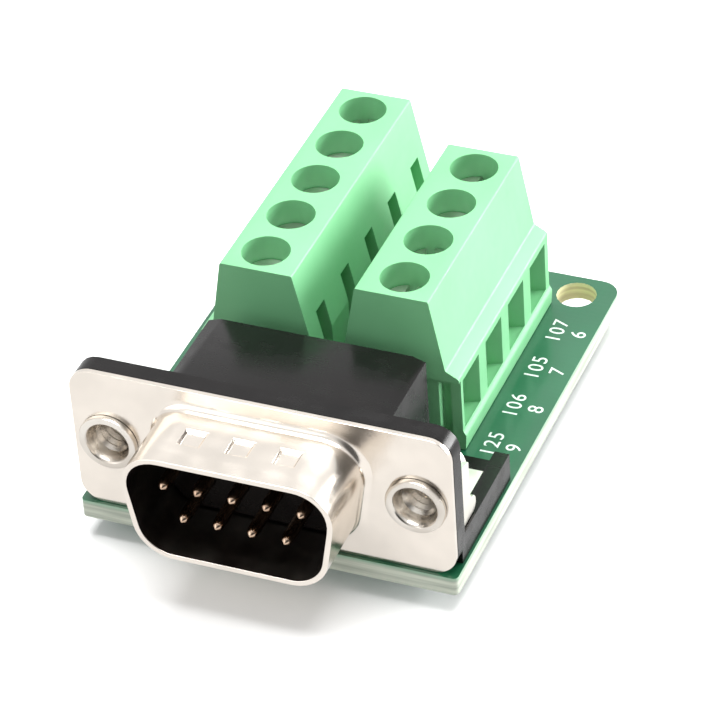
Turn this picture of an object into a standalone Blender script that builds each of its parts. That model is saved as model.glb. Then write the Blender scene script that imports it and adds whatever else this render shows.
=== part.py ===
"""D-sub to screw terminal adapter board.

A nine-way right-angle plug, one five-way and one four-way block of rising-cage
terminals, all on one printed circuit board. Lengths are in metres, +Z is up and
+Y runs from the plug to the rear. Sizes are measured from a datum on the board's
top face, under the middle of the plug flange's front face.
"""

import math

import bmesh
import bpy
from mathutils import Matrix, Vector

MM = 0.001

# Clearances
SEAT = 0.05 * MM  # between two pieces that are fixed to each other
SLIDE = 0.1 * MM  # between two pieces that move on each other
OVER = 1.0 * MM  # how far a cutter runs past the face that it opens
WELD = 0.0001 * MM  # points nearer than this are one point

# Circuit board
BOARD_PAST_FLANGE = 0.095 * MM
BOARD_FRONT = -0.3 * MM
BOARD_REAR = 38.4 * MM
BOARD_THICKNESS = 1.6 * MM
BOARD_REAR_RADIUS = 1.6 * MM
BOARD_FRONT_RADIUS = 0.4 * MM
FIX_HOLE_DIAMETER = 3.3 * MM
FIX_HOLE_FROM_SIDE = 3.15 * MM
FIX_HOLE_FROM_REAR = 2.4 * MM
TAIL_BELOW_BOARD = 1.9 * MM
HOLE_ROOM = 0.15 * MM  # around a lead in its hole

# Plug, a nine-way D-sub with its flange upright
FLANGE_HEIGHT = 12.55 * MM
FLANGE_RADIUS = 2.4 * MM
SHEET = 0.45 * MM
INSERT_FROM_OPENING = 4.035 * MM
INSERT_FROM_SIDE = 2.91 * MM
SHELL_REACH = 6.4 * MM
OPENING_WIDTH = 16.92 * MM
OPENING_HEIGHT = 8.36 * MM
OPENING_RADIUS = 2.6 * MM
OPENING_SLANT = math.radians(10)
SHELL_WALL = 0.5 * MM
ROOT_FILLET = 0.7 * MM
DIMPLE_PITCH = 3.8 * MM
DIMPLE_SIDE = 1.7 * MM
DIMPLE_DEPTH = 0.28 * MM
DIMPLE_FROM_FLANGE = 3.1 * MM
DIMPLES = 3

PIN_PITCH = 2.77 * MM
ROW_SPACING = 2.84 * MM
PIN_DIAMETER = 1.0 * MM
PIN_REACH = 5.6 * MM
PIN_TIP = 1.1 * MM
TIP_FLAT = 0.2 * MM  # across the flat end of a pin's tip
LEG_DIAMETER = 0.76 * MM
LEG_BEND = 1.0 * MM
UPPER_PINS = 5
LOWER_PINS = 4
LOWER_LEG_Y = 6.6 * MM
LEG_ROW_PITCH = 2.54 * MM

BACKING = 1.5 * MM
INSERT_FACE = 0.5 * MM  # how far the moulding stands into the shell
HOOD_IN_OPENING = 0.56 * MM
HOOD_SHOULDER = 1.08 * MM
HOOD_SHOULDER_DROP = 0.35 * MM
HOOD_TOP = 10.5 * MM
HOOD_REAR = 11.66 * MM
HOOD_WALL = 1.0 * MM
HOOD_FRONT_WALL = 2.4 * MM
FOOT_FROM_SIDE = 0.2 * MM
FOOT_ARM = 1.2 * MM
FOOT_HEIGHT = 2.5 * MM
FOOT_FLOOR = 1.05 * MM
FOOT_REAR = 12.0 * MM
FOOT_BLOCK = 1.4 * MM

THREAD_DIAMETER = 2.9 * MM
INSERT_BODY = 3.6 * MM
INSERT_RIM = 4.8 * MM
INSERT_FLARE = 3.4 * MM
INSERT_FLARE_DEPTH = 0.9 * MM
INSERT_PROUD = 0.45 * MM
INSERT_COLLAR = 4.1 * MM
INSERT_COLLAR_LENGTH = 2.6 * MM

STRAP_SHEET = 0.5 * MM
STRAP_FROM_HOOD = 1.32 * MM
STRAP_FROM_SIDE = 0.305 * MM
STRAP_OVER_CENTRE = 2.475 * MM
STRAP_SIDE_DEPTH = 2.1 * MM
STRAP_EAR_RADIUS = 0.75 * MM
STRAP_LEG_WIDTH = 2.8 * MM
LOCK_Y = 7.4 * MM
LOCK_HOLE = 3.2 * MM
LOCK_PRONG = 0.85 * MM
LOCK_BARB = 0.35 * MM

# Terminal blocks, in a frame on the screw line: +X to the wire side, Y along the poles
PITCH = 5.08 * MM
BLOCK_FRONT = 13.95 * MM
LEFT_LINE = -5.9 * MM
RIGHT_LINE = 5.6 * MM
LEFT_POLES = 5
RIGHT_POLES = 4
BLOCK_HEIGHT = 14.05 * MM
TOP_BACK = 3.16 * MM
TOP_WIRE = 2.85 * MM
CREASE_OUT = 3.95 * MM
CREASE_HEIGHT = 7.72 * MM
NOSE_OUT = 5.05 * MM
NOSE_HEIGHT = 7.1 * MM
RAIL_OUT = 5.3 * MM
RAIL_RIDGE = 1.45 * MM
RAIL_FOOT = 5.2 * MM
BACK_OUT = 4.6 * MM
BACK_HEIGHT = 7.0 * MM
HOUSING_EDGE = 0.12 * MM

WINDOW_WIDTH = 3.53 * MM
WINDOW_FLOOR = 1.85 * MM
WINDOW_TOP = 6.5 * MM
FUNNEL_DEPTH = 1.2 * MM
FUNNEL_TAPER = 0.42 * MM
END_STEP = 0.35 * MM
END_STEP_HEIGHT = 6.75 * MM
SCOOP_APEX = 8.7 * MM
SCOOP_FOOT = 1.2 * MM
SCOOP_WIDTH = 2.0 * MM
SCOOP_DEPTH = 1.1 * MM
TONGUE_DEPTH = 0.7 * MM
TONGUE_NECK = 0.6 * MM
TONGUE_HEAD = 1.0 * MM
TONGUE_FOOT = 0.4 * MM
TONGUE_OUT = (3.7 * MM, -3.0 * MM)

SCREW_BORE = 4.1 * MM
HEAD_DIAMETER = 3.8 * MM
HEAD_HEIGHT = 1.4 * MM
HEAD_EDGE = 0.2 * MM
HEAD_DEPTH = 2.05 * MM
SLOT_WIDTH = 0.7 * MM
SLOT_DEPTH = 0.75 * MM
SCREW_THREAD = 2.5 * MM
THREAD_PITCH = 0.45 * MM
SCREW_TURNS = 6
SLOT_ANGLES = (20, 63, 66, 35, 112, 80, 60, 108, 92)  # by screw, in degrees

BAR_UNDER = 5.6 * MM
BAR_SHEET = 0.7 * MM
BAR_WIDTH = 2.2 * MM
BAR_OUT = 1.8 * MM
TAIL_OUT = -3.7 * MM
TAIL_WIDTH = 1.0 * MM
TAIL_POINT = 0.3 * MM
CAGE_LENGTH = 4.0 * MM
CAGE_WIDTH = 3.5 * MM
CAGE_SIDE = 0.5 * MM
CAGE_FLOOR = 0.6 * MM
CAGE_ROOF = 1.3 * MM
CAGE_EDGE = 0.15 * MM

# Sizes that follow
INSERT_SPACING = OPENING_WIDTH + 2 * INSERT_FROM_OPENING
FLANGE_WIDTH = INSERT_SPACING + 2 * INSERT_FROM_SIDE
BOARD_WIDTH = FLANGE_WIDTH + 2 * BOARD_PAST_FLANGE
HOOD_TOP_WIDTH = OPENING_WIDTH - 2 * HOOD_IN_OPENING
FOOT_OUTER = BOARD_WIDTH / 2 - FOOT_FROM_SIDE
FLANGE_CENTRE = SEAT + FLANGE_HEIGHT / 2
BACKING_FRONT = SHEET + SEAT
BACKING_REAR = BACKING_FRONT + BACKING
STRAP_FRONT = BACKING_REAR + SEAT
STRAP_REAR = STRAP_FRONT + STRAP_SHEET
STRAP_FLOOR = FOOT_FLOOR + SEAT
HOOD_HALF = HOOD_TOP_WIDTH / 2 + HOOD_SHOULDER
STRAP_INNER = HOOD_HALF + STRAP_FROM_HOOD
STRAP_OUTER = FLANGE_WIDTH / 2 - STRAP_FROM_SIDE
STRAP_TOP = FLANGE_CENTRE + STRAP_OVER_CENTRE
LIFT = SCREW_TURNS * THREAD_PITCH
BAR_TOP = BAR_UNDER + BAR_SHEET
CAGE_ROOF_UNDER = BAR_TOP + SLIDE
CAGE_FLOOR_TOP = BAR_UNDER - LIFT - SLIDE
CAGE_BOTTOM = CAGE_FLOOR_TOP - CAGE_FLOOR
CAGE_TOP = CAGE_ROOF_UNDER + CAGE_ROOF
HEAD_TOP = BLOCK_HEIGHT - HEAD_DEPTH
HEAD_UNDER = HEAD_TOP - HEAD_HEIGHT
TAIL_END = -BOARD_THICKNESS - TAIL_BELOW_BOARD
LEFT_LENGTH = LEFT_POLES * PITCH
RIGHT_LENGTH = RIGHT_POLES * PITCH
WHOLE_FRONT = -SHELL_REACH
WHOLE_REAR = BLOCK_FRONT + LEFT_LENGTH

ROUND = 20  # sides of a bore or a turned piece
ARC = 5  # steps in a rounded corner
TIP_STEPS = 4  # along a pin's tip
BEND_STEPS = 3  # in a pin's bend
EDGE_STEPS = 2  # in a small rounded edge
LEAD_SIDES = 12  # sides of a lead's hole in the board
BEND_ANGLE = math.radians(30)  # edges that turn less than this look smooth

# Materials: colour, metallic, roughness
FINISHES = {
    "board_green": ((0.02, 0.22, 0.10), 0.0, 0.35),
    "terminal_green": ((0.30, 0.72, 0.44), 0.0, 0.45),
    "moulding_black": ((0.03, 0.028, 0.028), 0.0, 0.5),
    "bright_nickel": ((0.80, 0.78, 0.74), 1.0, 0.2),
    "contact_gold": ((0.85, 0.60, 0.35), 1.0, 0.25),
    "zinc_screw": ((0.62, 0.62, 0.60), 1.0, 0.35),
    "tinned_brass": ((0.75, 0.74, 0.70), 1.0, 0.35),
}


def clear_scene():
    for obj in list(bpy.data.objects):
        bpy.data.objects.remove(obj, do_unlink=True)


def new_collection(name, hidden):
    collection = bpy.data.collections.new(name)
    bpy.context.scene.collection.children.link(collection)
    collection.hide_render = hidden
    return collection


def new_material(name):
    colour, metallic, roughness = FINISHES[name]
    material = bpy.data.materials.new(name)
    material.use_nodes = True
    shader = material.node_tree.nodes["Principled BSDF"]
    shader.inputs["Base Color"].default_value = (*colour, 1.0)
    shader.inputs["Metallic"].default_value = metallic
    shader.inputs["Roughness"].default_value = roughness
    return material


def new_frame(name, location, parent, turn=0.0):
    """An empty that carries pieces, turned about Z."""
    frame = bpy.data.objects.new(name, None)
    frame.location = location
    frame.rotation_euler = (0.0, 0.0, turn)
    frame.parent = parent
    PARTS.objects.link(frame)
    return frame


def place(name, mesh, parent, finish, location=(0.0, 0.0, 0.0), turn=0.0):
    """Adds a mesh to the adapter as one of its pieces."""
    obj = bpy.data.objects.new(name, mesh)
    obj.location = location
    obj.rotation_euler = (0.0, 0.0, turn)
    obj.parent = parent
    if finish.name not in mesh.materials:
        mesh.materials.append(finish)
    PARTS.objects.link(obj)
    return obj


def helper(name, mesh, parent):
    """Adds a mesh that only cuts or joins another."""
    obj = bpy.data.objects.new(name, mesh)
    obj.parent = parent
    obj.hide_render = True
    obj.display_type = "WIRE"
    CUTTERS.objects.link(obj)
    return obj


def combine(obj, mesh, operation):
    tool = helper(f"{obj.name}_{operation.lower()}_{len(obj.modifiers)}", mesh, obj.parent)
    modifier = obj.modifiers.new(tool.name, "BOOLEAN")
    modifier.operation = operation
    modifier.object = tool
    return obj


def cut(obj, mesh):
    return combine(obj, mesh, "DIFFERENCE")


def join(obj, mesh):
    return combine(obj, mesh, "UNION")


def bevel(obj, width):
    modifier = obj.modifiers.new("edges", "BEVEL")
    modifier.width = width
    modifier.segments = EDGE_STEPS
    modifier.limit_method = "ANGLE"
    modifier.angle_limit = BEND_ANGLE
    return obj


def settled(obj):
    """The object's mesh with its modifiers applied. The object itself is removed."""
    bpy.context.view_layer.update()
    graph = bpy.context.evaluated_depsgraph_get()
    mesh = bpy.data.meshes.new_from_object(obj.evaluated_get(graph))
    mesh.name = obj.name
    bpy.data.objects.remove(obj, do_unlink=True)
    return mesh


def from_bmesh(name, shape):
    mesh = bpy.data.meshes.new(name)
    shape.to_mesh(mesh)
    shape.free()
    return mesh


def box(low, high):
    """A block between two corners."""
    shape = bmesh.new()
    size = Vector(high) - Vector(low)
    middle = (Vector(high) + Vector(low)) / 2
    at = Matrix.Translation(middle) @ Matrix.Diagonal((*size, 1.0))
    bmesh.ops.create_cube(shape, size=1.0, matrix=at)
    return from_bmesh("box", shape)


def rod(centre, diameter, low, high, axis="Z", end_diameter=None):
    """A cylinder or a cone along an axis, between two heights on it."""
    shape = bmesh.new()
    bmesh.ops.create_cone(
        shape,
        cap_ends=True,
        segments=ROUND,
        radius1=diameter / 2,
        radius2=(end_diameter or diameter) / 2,
        depth=high - low,
    )
    x, other = centre
    middle = (low + high) / 2
    turns = {
        "Z": Matrix.Translation((x, other, middle)),
        "Y": Matrix.Translation((x, middle, other)) @ Matrix.Rotation(math.radians(-90), 4, "X"),
    }
    bmesh.ops.transform(shape, matrix=turns[axis], verts=shape.verts)
    return from_bmesh("rod", shape)


def prism(outlines, low, high, axis="Z"):
    """Flat outlines, the first outside and the others holes, extruded along an axis.

    An outline's two coordinates are X and Y along Z, X and Z along Y, and Y and Z along X.
    """
    curve = bpy.data.curves.new("outline", "CURVE")
    curve.dimensions = "2D"
    curve.fill_mode = "BOTH"
    curve.extrude = (high - low) / 2
    for outline in outlines:
        spline = curve.splines.new("POLY")
        spline.points.add(len(outline) - 1)
        for point, (x, y) in zip(spline.points, outline):
            point.co = (x, y, 0.0, 1.0)
        spline.use_cyclic_u = True
    guide = bpy.data.objects.new("outline", curve)
    CUTTERS.objects.link(guide)
    mesh = settled(guide)
    bpy.data.curves.remove(curve)
    shape = bmesh.new()
    shape.from_mesh(mesh)
    bpy.data.meshes.remove(mesh)
    bmesh.ops.remove_doubles(shape, verts=shape.verts, dist=WELD)
    middle = (low + high) / 2
    turns = {
        "Z": Matrix.Translation((0.0, 0.0, middle)),
        "Y": Matrix.Translation((0.0, middle, 0.0)) @ Matrix.Rotation(math.radians(90), 4, "X"),
        "X": Matrix.Translation((middle, 0.0, 0.0))
        @ Matrix(((0, 0, 1, 0), (1, 0, 0, 0), (0, 1, 0, 0), (0, 0, 0, 1))),
    }
    bmesh.ops.transform(shape, matrix=turns[axis], verts=shape.verts)
    return from_bmesh("prism", shape)


def turned(name, profile, axis="Z"):
    """A solid of revolution. Its profile holds radius and height, down the outer side."""
    mesh = bpy.data.meshes.new(name)
    points = [(radius, 0.0, height) for radius, height in profile]
    mesh.from_pydata(points, [(i, i + 1) for i in range(len(points) - 1)], [])
    obj = bpy.data.objects.new(name, mesh)
    CUTTERS.objects.link(obj)
    spin = obj.modifiers.new("turn", "SCREW")
    spin.steps = ROUND
    spin.render_steps = ROUND
    spin.use_merge_vertices = True
    spin.merge_threshold = WELD
    result = settled(obj)
    if axis == "Y":
        result.transform(Matrix.Rotation(math.radians(90), 4, "X"))
    smooth(result)
    return result


def smooth(mesh):
    mesh.shade_smooth()
    mesh.set_sharp_from_angle(angle=BEND_ANGLE)


def tube(name, points, radii):
    """A round bar through the points, with its own radius at each of them."""
    curve = bpy.data.curves.new(name, "CURVE")
    curve.dimensions = "3D"
    curve.bevel_depth = 1.0
    curve.bevel_resolution = 3
    curve.use_fill_caps = True
    spline = curve.splines.new("POLY")
    spline.points.add(len(points) - 1)
    for point, at, radius in zip(spline.points, points, radii):
        point.co = (*at, 1.0)
        point.radius = radius
    guide = bpy.data.objects.new(name, curve)
    CUTTERS.objects.link(guide)
    mesh = settled(guide)
    bpy.data.curves.remove(curve)
    shape = bmesh.new()
    shape.from_mesh(mesh)
    bpy.data.meshes.remove(mesh)
    bmesh.ops.remove_doubles(shape, verts=shape.verts, dist=WELD)
    bmesh.ops.recalc_face_normals(shape, faces=shape.faces)
    result = from_bmesh(name, shape)
    smooth(result)
    return result


def arc(centre, radius, start, end, steps=ARC):
    """Points on an arc between two angles in degrees."""
    angles = [math.radians(start + (end - start) * i / steps) for i in range(steps + 1)]
    return [(centre[0] + radius * math.cos(a), centre[1] + radius * math.sin(a)) for a in angles]


def circle(centre, diameter, sides=ROUND):
    return arc(centre, diameter / 2, 0, 360 - 360 / sides, sides - 1)


def rounded(low, high, radii, steps=ARC):
    """A rectangle with its own corner radius at each corner, anticlockwise from the lowest."""
    corners = []
    signs = ((1, 1), (-1, 1), (-1, -1), (1, -1))
    edges = ((low[0], low[1]), (high[0], low[1]), (high[0], high[1]), (low[0], high[1]))
    for index, ((x, y), (sx, sy), radius) in enumerate(zip(edges, signs, radii)):
        centre = (x + sx * radius, y + sy * radius)
        corners += arc(centre, radius, 180 + 90 * index, 270 + 90 * index, steps)
    return corners


def plug_outline(grow=0.0):
    """The plug opening's outline, grown evenly all round, with its wide side up."""
    half = OPENING_HEIGHT / 2
    slant = math.degrees(OPENING_SLANT)
    sine, cosine = math.sin(OPENING_SLANT), math.cos(OPENING_SLANT)
    foot = OPENING_WIDTH / 2 - OPENING_HEIGHT * math.tan(OPENING_SLANT)
    upper = (OPENING_WIDTH / 2 - OPENING_RADIUS * (1 + sine) / cosine, half - OPENING_RADIUS)
    lower = (foot - OPENING_RADIUS * (1 - sine) / cosine, OPENING_RADIUS - half)
    radius = OPENING_RADIUS + grow
    right = arc(lower, radius, -90, -slant) + arc(upper, radius, -slant, 90)
    points = right + [(-x, y) for x, y in reversed(right)]
    return [(x, y + FLANGE_CENTRE) for x, y in points]


def make_board(frame):
    """The board, with a hole for every lead, lock and screw that goes through it."""
    half = BOARD_WIDTH / 2
    radii = (BOARD_FRONT_RADIUS, BOARD_FRONT_RADIUS, BOARD_REAR_RADIUS, BOARD_REAR_RADIUS)
    outlines = [rounded((-half, BOARD_FRONT), (half, BOARD_REAR), radii)]
    fix_hole = (half - FIX_HOLE_FROM_SIDE, BOARD_REAR - FIX_HOLE_FROM_REAR)
    outlines.append(circle(fix_hole, FIX_HOLE_DIAMETER))
    for x, _, leg_y in plug_pins():
        outlines.append(circle((x, leg_y), LEG_DIAMETER + 2 * HOLE_ROOM, LEAD_SIDES))
    for side in (-1, 1):
        outlines.append(circle((side * INSERT_SPACING / 2, LOCK_Y), LOCK_HOLE))
    tail = math.hypot(TAIL_WIDTH, BAR_SHEET) + 2 * HOLE_ROOM
    for line, side, poles, start in blocks():
        for pole in range(poles):
            x = line + side * (TAIL_OUT + BAR_SHEET / 2)
            outlines.append(circle((x, start + side * (pole + 0.5) * PITCH), tail, LEAD_SIDES))
    mesh = prism(outlines, -BOARD_THICKNESS, 0.0)
    place("circuit_board", mesh, frame, MATERIALS["board_green"])


def plug_pins():
    """Each pin's X, its height above the plug's middle and the Y of its leg, by number."""
    upper = (UPPER_PINS, ROW_SPACING / 2, LOWER_LEG_Y + LEG_ROW_PITCH)
    lower = (LOWER_PINS, -ROW_SPACING / 2, LOWER_LEG_Y)
    for count, rise, leg_y in (upper, lower):
        for index in range(count):
            yield (index - (count - 1) / 2) * PIN_PITCH, rise, leg_y


def blocks():
    """Each block's screw line, its wire side, its number of poles and where its frame starts."""
    yield LEFT_LINE, -1, LEFT_POLES, BLOCK_FRONT + LEFT_LENGTH
    yield RIGHT_LINE, 1, RIGHT_POLES, BLOCK_FRONT


def make_plug_pins(frame):
    """Round pins with an ogive tip, bent down to the board behind the flange."""
    radius = PIN_DIAMETER / 2
    flat = TIP_FLAT / 2
    thin = LEG_DIAMETER / 2
    for number, (x, rise, leg_y) in enumerate(plug_pins(), 1):
        height = FLANGE_CENTRE + rise
        points = []
        radii = []
        for step in range(TIP_STEPS):
            along = step / TIP_STEPS
            points.append((x, -PIN_REACH + along * PIN_TIP, height))
            radii.append(flat + (radius - flat) * math.sqrt(1 - (1 - along) ** 2))
        points += [(x, PIN_TIP - PIN_REACH, height), (x, BACKING_REAR, height)]
        radii += [radius, radius]
        points.append((x, BACKING_REAR + radius, height))
        bend = arc((leg_y - LEG_BEND, height - LEG_BEND), LEG_BEND, 90, 0, BEND_STEPS)
        points += [(x, y, z) for y, z in bend]
        points += [(x, leg_y, TAIL_END + thin), (x, leg_y, TAIL_END)]
        radii += [thin] * (len(points) - len(radii) - 1) + [thin / 2]
        mesh = tube(f"dsub_pin_{number}", points, radii)
        place(f"dsub_pin_{number}", mesh, frame, MATERIALS["contact_gold"])


def make_shell(frame):
    """The drawn shell: its wall runs round the opening and flares out into the flange."""
    wall = SHELL_WALL
    inside = SHEET - SEAT
    foot = wall + ROOT_FILLET + SHEET / 2
    section = [(0.0, inside)]
    section += [(wall / 2 - x, y) for x, y in arc((0.0, wall / 2 - SHELL_REACH), wall / 2, 0, -180)]
    section += arc((wall + ROOT_FILLET, -ROOT_FILLET), ROOT_FILLET, 180, 90)
    section += [(foot, SHEET / 2), (foot, inside)]
    shape = bmesh.new()
    rings = []
    for grow, y in section:
        rings.append([shape.verts.new((x, y, z)) for x, z in plug_outline(grow)])
    for ring, following in zip(rings, rings[1:] + rings[:1]):
        for index in range(len(ring)):
            after = (index + 1) % len(ring)
            shape.faces.new((ring[index], ring[after], following[after], following[index]))
    bmesh.ops.remove_doubles(shape, verts=shape.verts, dist=WELD)
    bmesh.ops.recalc_face_normals(shape, faces=shape.faces)
    half = FLANGE_WIDTH / 2
    low = (-half, FLANGE_CENTRE - FLANGE_HEIGHT / 2)
    high = (half, FLANGE_CENTRE + FLANGE_HEIGHT / 2)
    hole = plug_outline(wall + ROOT_FILLET / 2)
    flange = prism([rounded(low, high, [FLANGE_RADIUS] * 4), hole], 0.0, SHEET, "Y")
    shell = place("dsub_shell", flange, frame, MATERIALS["bright_nickel"])
    join(shell, from_bmesh("drawn_wall", shape))
    for side in (-1, 1):
        at = (side * INSERT_SPACING / 2, FLANGE_CENTRE)
        cut(shell, rod(at, INSERT_BODY + 2 * SEAT, -OVER, SHEET + OVER, "Y"))
    top = FLANGE_CENTRE + OPENING_HEIGHT / 2 + wall
    for index in range(DIMPLES):
        x = (index - (DIMPLES - 1) / 2) * DIMPLE_PITCH
        cut(shell, dimple((x, -DIMPLE_FROM_FLANGE, top)))


def dimple(centre):
    """A shallow square pit with sloping sides."""
    shape = bmesh.new()
    bmesh.ops.create_cone(
        shape,
        cap_ends=True,
        segments=4,
        radius1=(DIMPLE_SIDE / 2 - DIMPLE_DEPTH) * math.sqrt(2),
        radius2=(DIMPLE_SIDE / 2 + DIMPLE_DEPTH) * math.sqrt(2),
        depth=2 * DIMPLE_DEPTH,
    )
    at = Matrix.Translation(centre) @ Matrix.Rotation(math.radians(45), 4, "Z")
    bmesh.ops.transform(shape, matrix=at, verts=shape.verts)
    return from_bmesh("dimple", shape)


def make_insulator(frame):
    """The black moulding: the flange's backing, the hood over the legs and two feet."""
    half = FLANGE_WIDTH / 2
    low = (-half, FLANGE_CENTRE - FLANGE_HEIGHT / 2)
    high = (half, FLANGE_CENTRE + FLANGE_HEIGHT / 2)
    backing = prism([rounded(low, high, [FLANGE_RADIUS] * 4)], BACKING_FRONT, BACKING_REAR, "Y")
    body = place("dsub_insulator", backing, frame, MATERIALS["moulding_black"])
    join(body, prism([plug_outline(-SLIDE)], -INSERT_FACE, BACKING_REAR - SEAT, "Y"))
    shoulder = HOOD_TOP - HOOD_SHOULDER_DROP
    top = HOOD_TOP_WIDTH / 2
    hood = [(-HOOD_HALF, SEAT), (HOOD_HALF, SEAT), (HOOD_HALF, shoulder)]
    hood += [(top, HOOD_TOP), (-top, HOOD_TOP), (-HOOD_HALF, shoulder)]
    join(body, prism([hood], BACKING_REAR - SHEET, HOOD_REAR, "Y"))
    for side in (-1, 1):
        join_foot(body, side)
    inner = HOOD_HALF - HOOD_WALL
    front = BACKING_REAR + HOOD_FRONT_WALL
    cut(body, box((-inner, front, -OVER), (inner, HOOD_REAR - HOOD_WALL, HOOD_TOP - HOOD_WALL)))
    for x, rise, _ in plug_pins():
        at = (x, FLANGE_CENTRE + rise)
        cut(body, rod(at, PIN_DIAMETER + 2 * SEAT, -OVER, front + OVER, "Y"))
    for side in (-1, 1):
        at = (side * INSERT_SPACING / 2, FLANGE_CENTRE)
        cut(body, rod(at, INSERT_BODY + 2 * SEAT, BACKING_FRONT - OVER, BACKING_REAR + OVER, "Y"))
        lock = (side * INSERT_SPACING / 2, LOCK_Y)
        cut(body, rod(lock, LOCK_HOLE + 2 * SLIDE, -OVER, FOOT_FLOOR + OVER))


def join_foot(body, side):
    """One foot: a floor beside the hood, with an outer arm that turns in behind it."""
    inner = HOOD_HALF - HOOD_WALL / 2
    arm = FOOT_OUTER - FOOT_ARM
    front = BACKING_REAR - SHEET
    turn = FOOT_REAR - FOOT_BLOCK
    fence = [(arm, front), (FOOT_OUTER, front), (FOOT_OUTER, FOOT_REAR)]
    fence += [(inner, FOOT_REAR), (inner, turn), (arm, turn)]
    side_end = arm + FOOT_ARM / 2
    rear_end = turn + FOOT_BLOCK / 2
    floor = [(inner, front), (side_end, front), (side_end, rear_end), (inner, rear_end)]
    for outline, height in ((fence, FOOT_HEIGHT), (floor, FOOT_FLOOR)):
        points = [(side * x, y) for x, y in outline]
        join(body, prism([points], SEAT, height))


def make_inserts(frame):
    """Flared, threaded inserts that rivet the flange, the moulding and the strap together."""
    bore = THREAD_DIAMETER / 2
    rim = INSERT_RIM / 2
    body = INSERT_BODY / 2
    flare = INSERT_FLARE / 2
    collar = INSERT_COLLAR / 2
    collar_front = STRAP_REAR + SEAT
    end = collar_front + INSERT_COLLAR_LENGTH
    rim_front = -SEAT - INSERT_PROUD
    edge = INSERT_PROUD / 3
    # Heights run along -Y, so that the flared end is the top of the profile.
    profile = [(bore, -end), (bore, -INSERT_FLARE_DEPTH), (flare, -rim_front - edge)]
    profile += [(flare + edge, -rim_front), (rim - edge, -rim_front), (rim, -rim_front - edge)]
    profile += [(rim, SEAT), (body, SEAT), (body, -collar_front), (collar, -collar_front)]
    profile += [(collar, -end), (bore, -end)]
    for name, side in (("left", -1), ("right", 1)):
        mesh = turned(f"threaded_insert_{name}", profile, "Y")
        at = (side * INSERT_SPACING / 2, 0.0, FLANGE_CENTRE)
        place(f"threaded_insert_{name}", mesh, frame, MATERIALS["bright_nickel"], at)


def make_straps(frame):
    """Folded straps: a wall behind the flange, a side, a foot plate and two lock prongs."""
    for name, side in (("left", -1), ("right", 1)):
        outline = [(side * x, z) for x, z in strap_wall()]
        wall = prism([outline], STRAP_FRONT, STRAP_REAR, "Y")
        strap = place(f"ground_strap_{name}", wall, frame, MATERIALS["bright_nickel"])
        join(strap, strap_side(side))
        middle = side * INSERT_SPACING / 2
        low = (middle - STRAP_LEG_WIDTH / 2, STRAP_FRONT + STRAP_SHEET / 4, STRAP_FLOOR)
        high = (middle + STRAP_LEG_WIDTH / 2, FOOT_REAR - FOOT_BLOCK - SLIDE, STRAP_FLOOR + STRAP_SHEET)
        join(strap, box(low, high))
        front = LOCK_Y - STRAP_SHEET / 2
        for lean in (-1, 1):
            join(strap, prism([lock_prong(middle, lean)], front, front + STRAP_SHEET, "Y"))
        at = (middle, FLANGE_CENTRE)
        cut(strap, rod(at, INSERT_BODY + 2 * SEAT, STRAP_FRONT - OVER, STRAP_REAR + OVER, "Y"))


def strap_wall():
    """The strap's wall behind the flange, notched over the foot's arm.

    It ends inside the side's sheet and the foot plate's, which it meets in a bend.
    """
    arm = FOOT_OUTER - FOOT_ARM - SLIDE
    bend = STRAP_SHEET / 2
    over = FOOT_HEIGHT + bend
    foot = STRAP_FLOOR + bend / 2
    outer = STRAP_OUTER - bend
    points = [(STRAP_INNER, foot), (arm, foot), (arm, over), (outer, over)]
    points += [(outer, STRAP_TOP - bend), (outer - bend, STRAP_TOP), (STRAP_INNER, STRAP_TOP)]
    return points


def strap_side(side):
    """The strap's outer side, with a rounded ear at its foot."""
    front = STRAP_FRONT + STRAP_SHEET / 4
    rear = STRAP_FRONT + STRAP_SIDE_DEPTH
    low = FOOT_HEIGHT + SLIDE
    ear = (rear + STRAP_EAR_RADIUS / 2, low + STRAP_EAR_RADIUS)
    shoulder = low + 2 * STRAP_EAR_RADIUS + STRAP_SHEET
    outline = [(front, low)] + arc(ear, STRAP_EAR_RADIUS, -90, 90)
    outline += [(rear, shoulder), (rear, STRAP_TOP - STRAP_SIDE_DEPTH / 2)]
    outline.append((front, STRAP_TOP - STRAP_SHEET))
    x = sorted((side * (STRAP_OUTER - STRAP_SHEET), side * STRAP_OUTER))
    return prism([outline], x[0], x[1], "X")


def lock_prong(middle, lean):
    """One prong that goes down through the board and hooks under it."""
    outer = LOCK_HOLE / 2 - HOLE_ROOM
    inner = outer - LOCK_PRONG
    under = -BOARD_THICKNESS - SLIDE
    top = STRAP_FLOOR + STRAP_SHEET / 2
    points = [(inner, top), (outer, top), (outer, under), (outer + LOCK_BARB, under - LOCK_BARB)]
    points.append((inner, TAIL_END))
    return [(middle + lean * x, z) for x, z in points]


def block_outline():
    """A housing's section across its poles."""
    return [
        (-BACK_OUT, SEAT),
        (RAIL_FOOT, SEAT),
        (RAIL_OUT, RAIL_RIDGE),
        (NOSE_OUT, WINDOW_FLOOR),
        (NOSE_OUT, NOSE_HEIGHT),
        (CREASE_OUT, CREASE_HEIGHT),
        (TOP_WIRE, BLOCK_HEIGHT),
        (-TOP_BACK, BLOCK_HEIGHT),
        (-BACK_OUT, BACK_HEIGHT),
    ]


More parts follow.
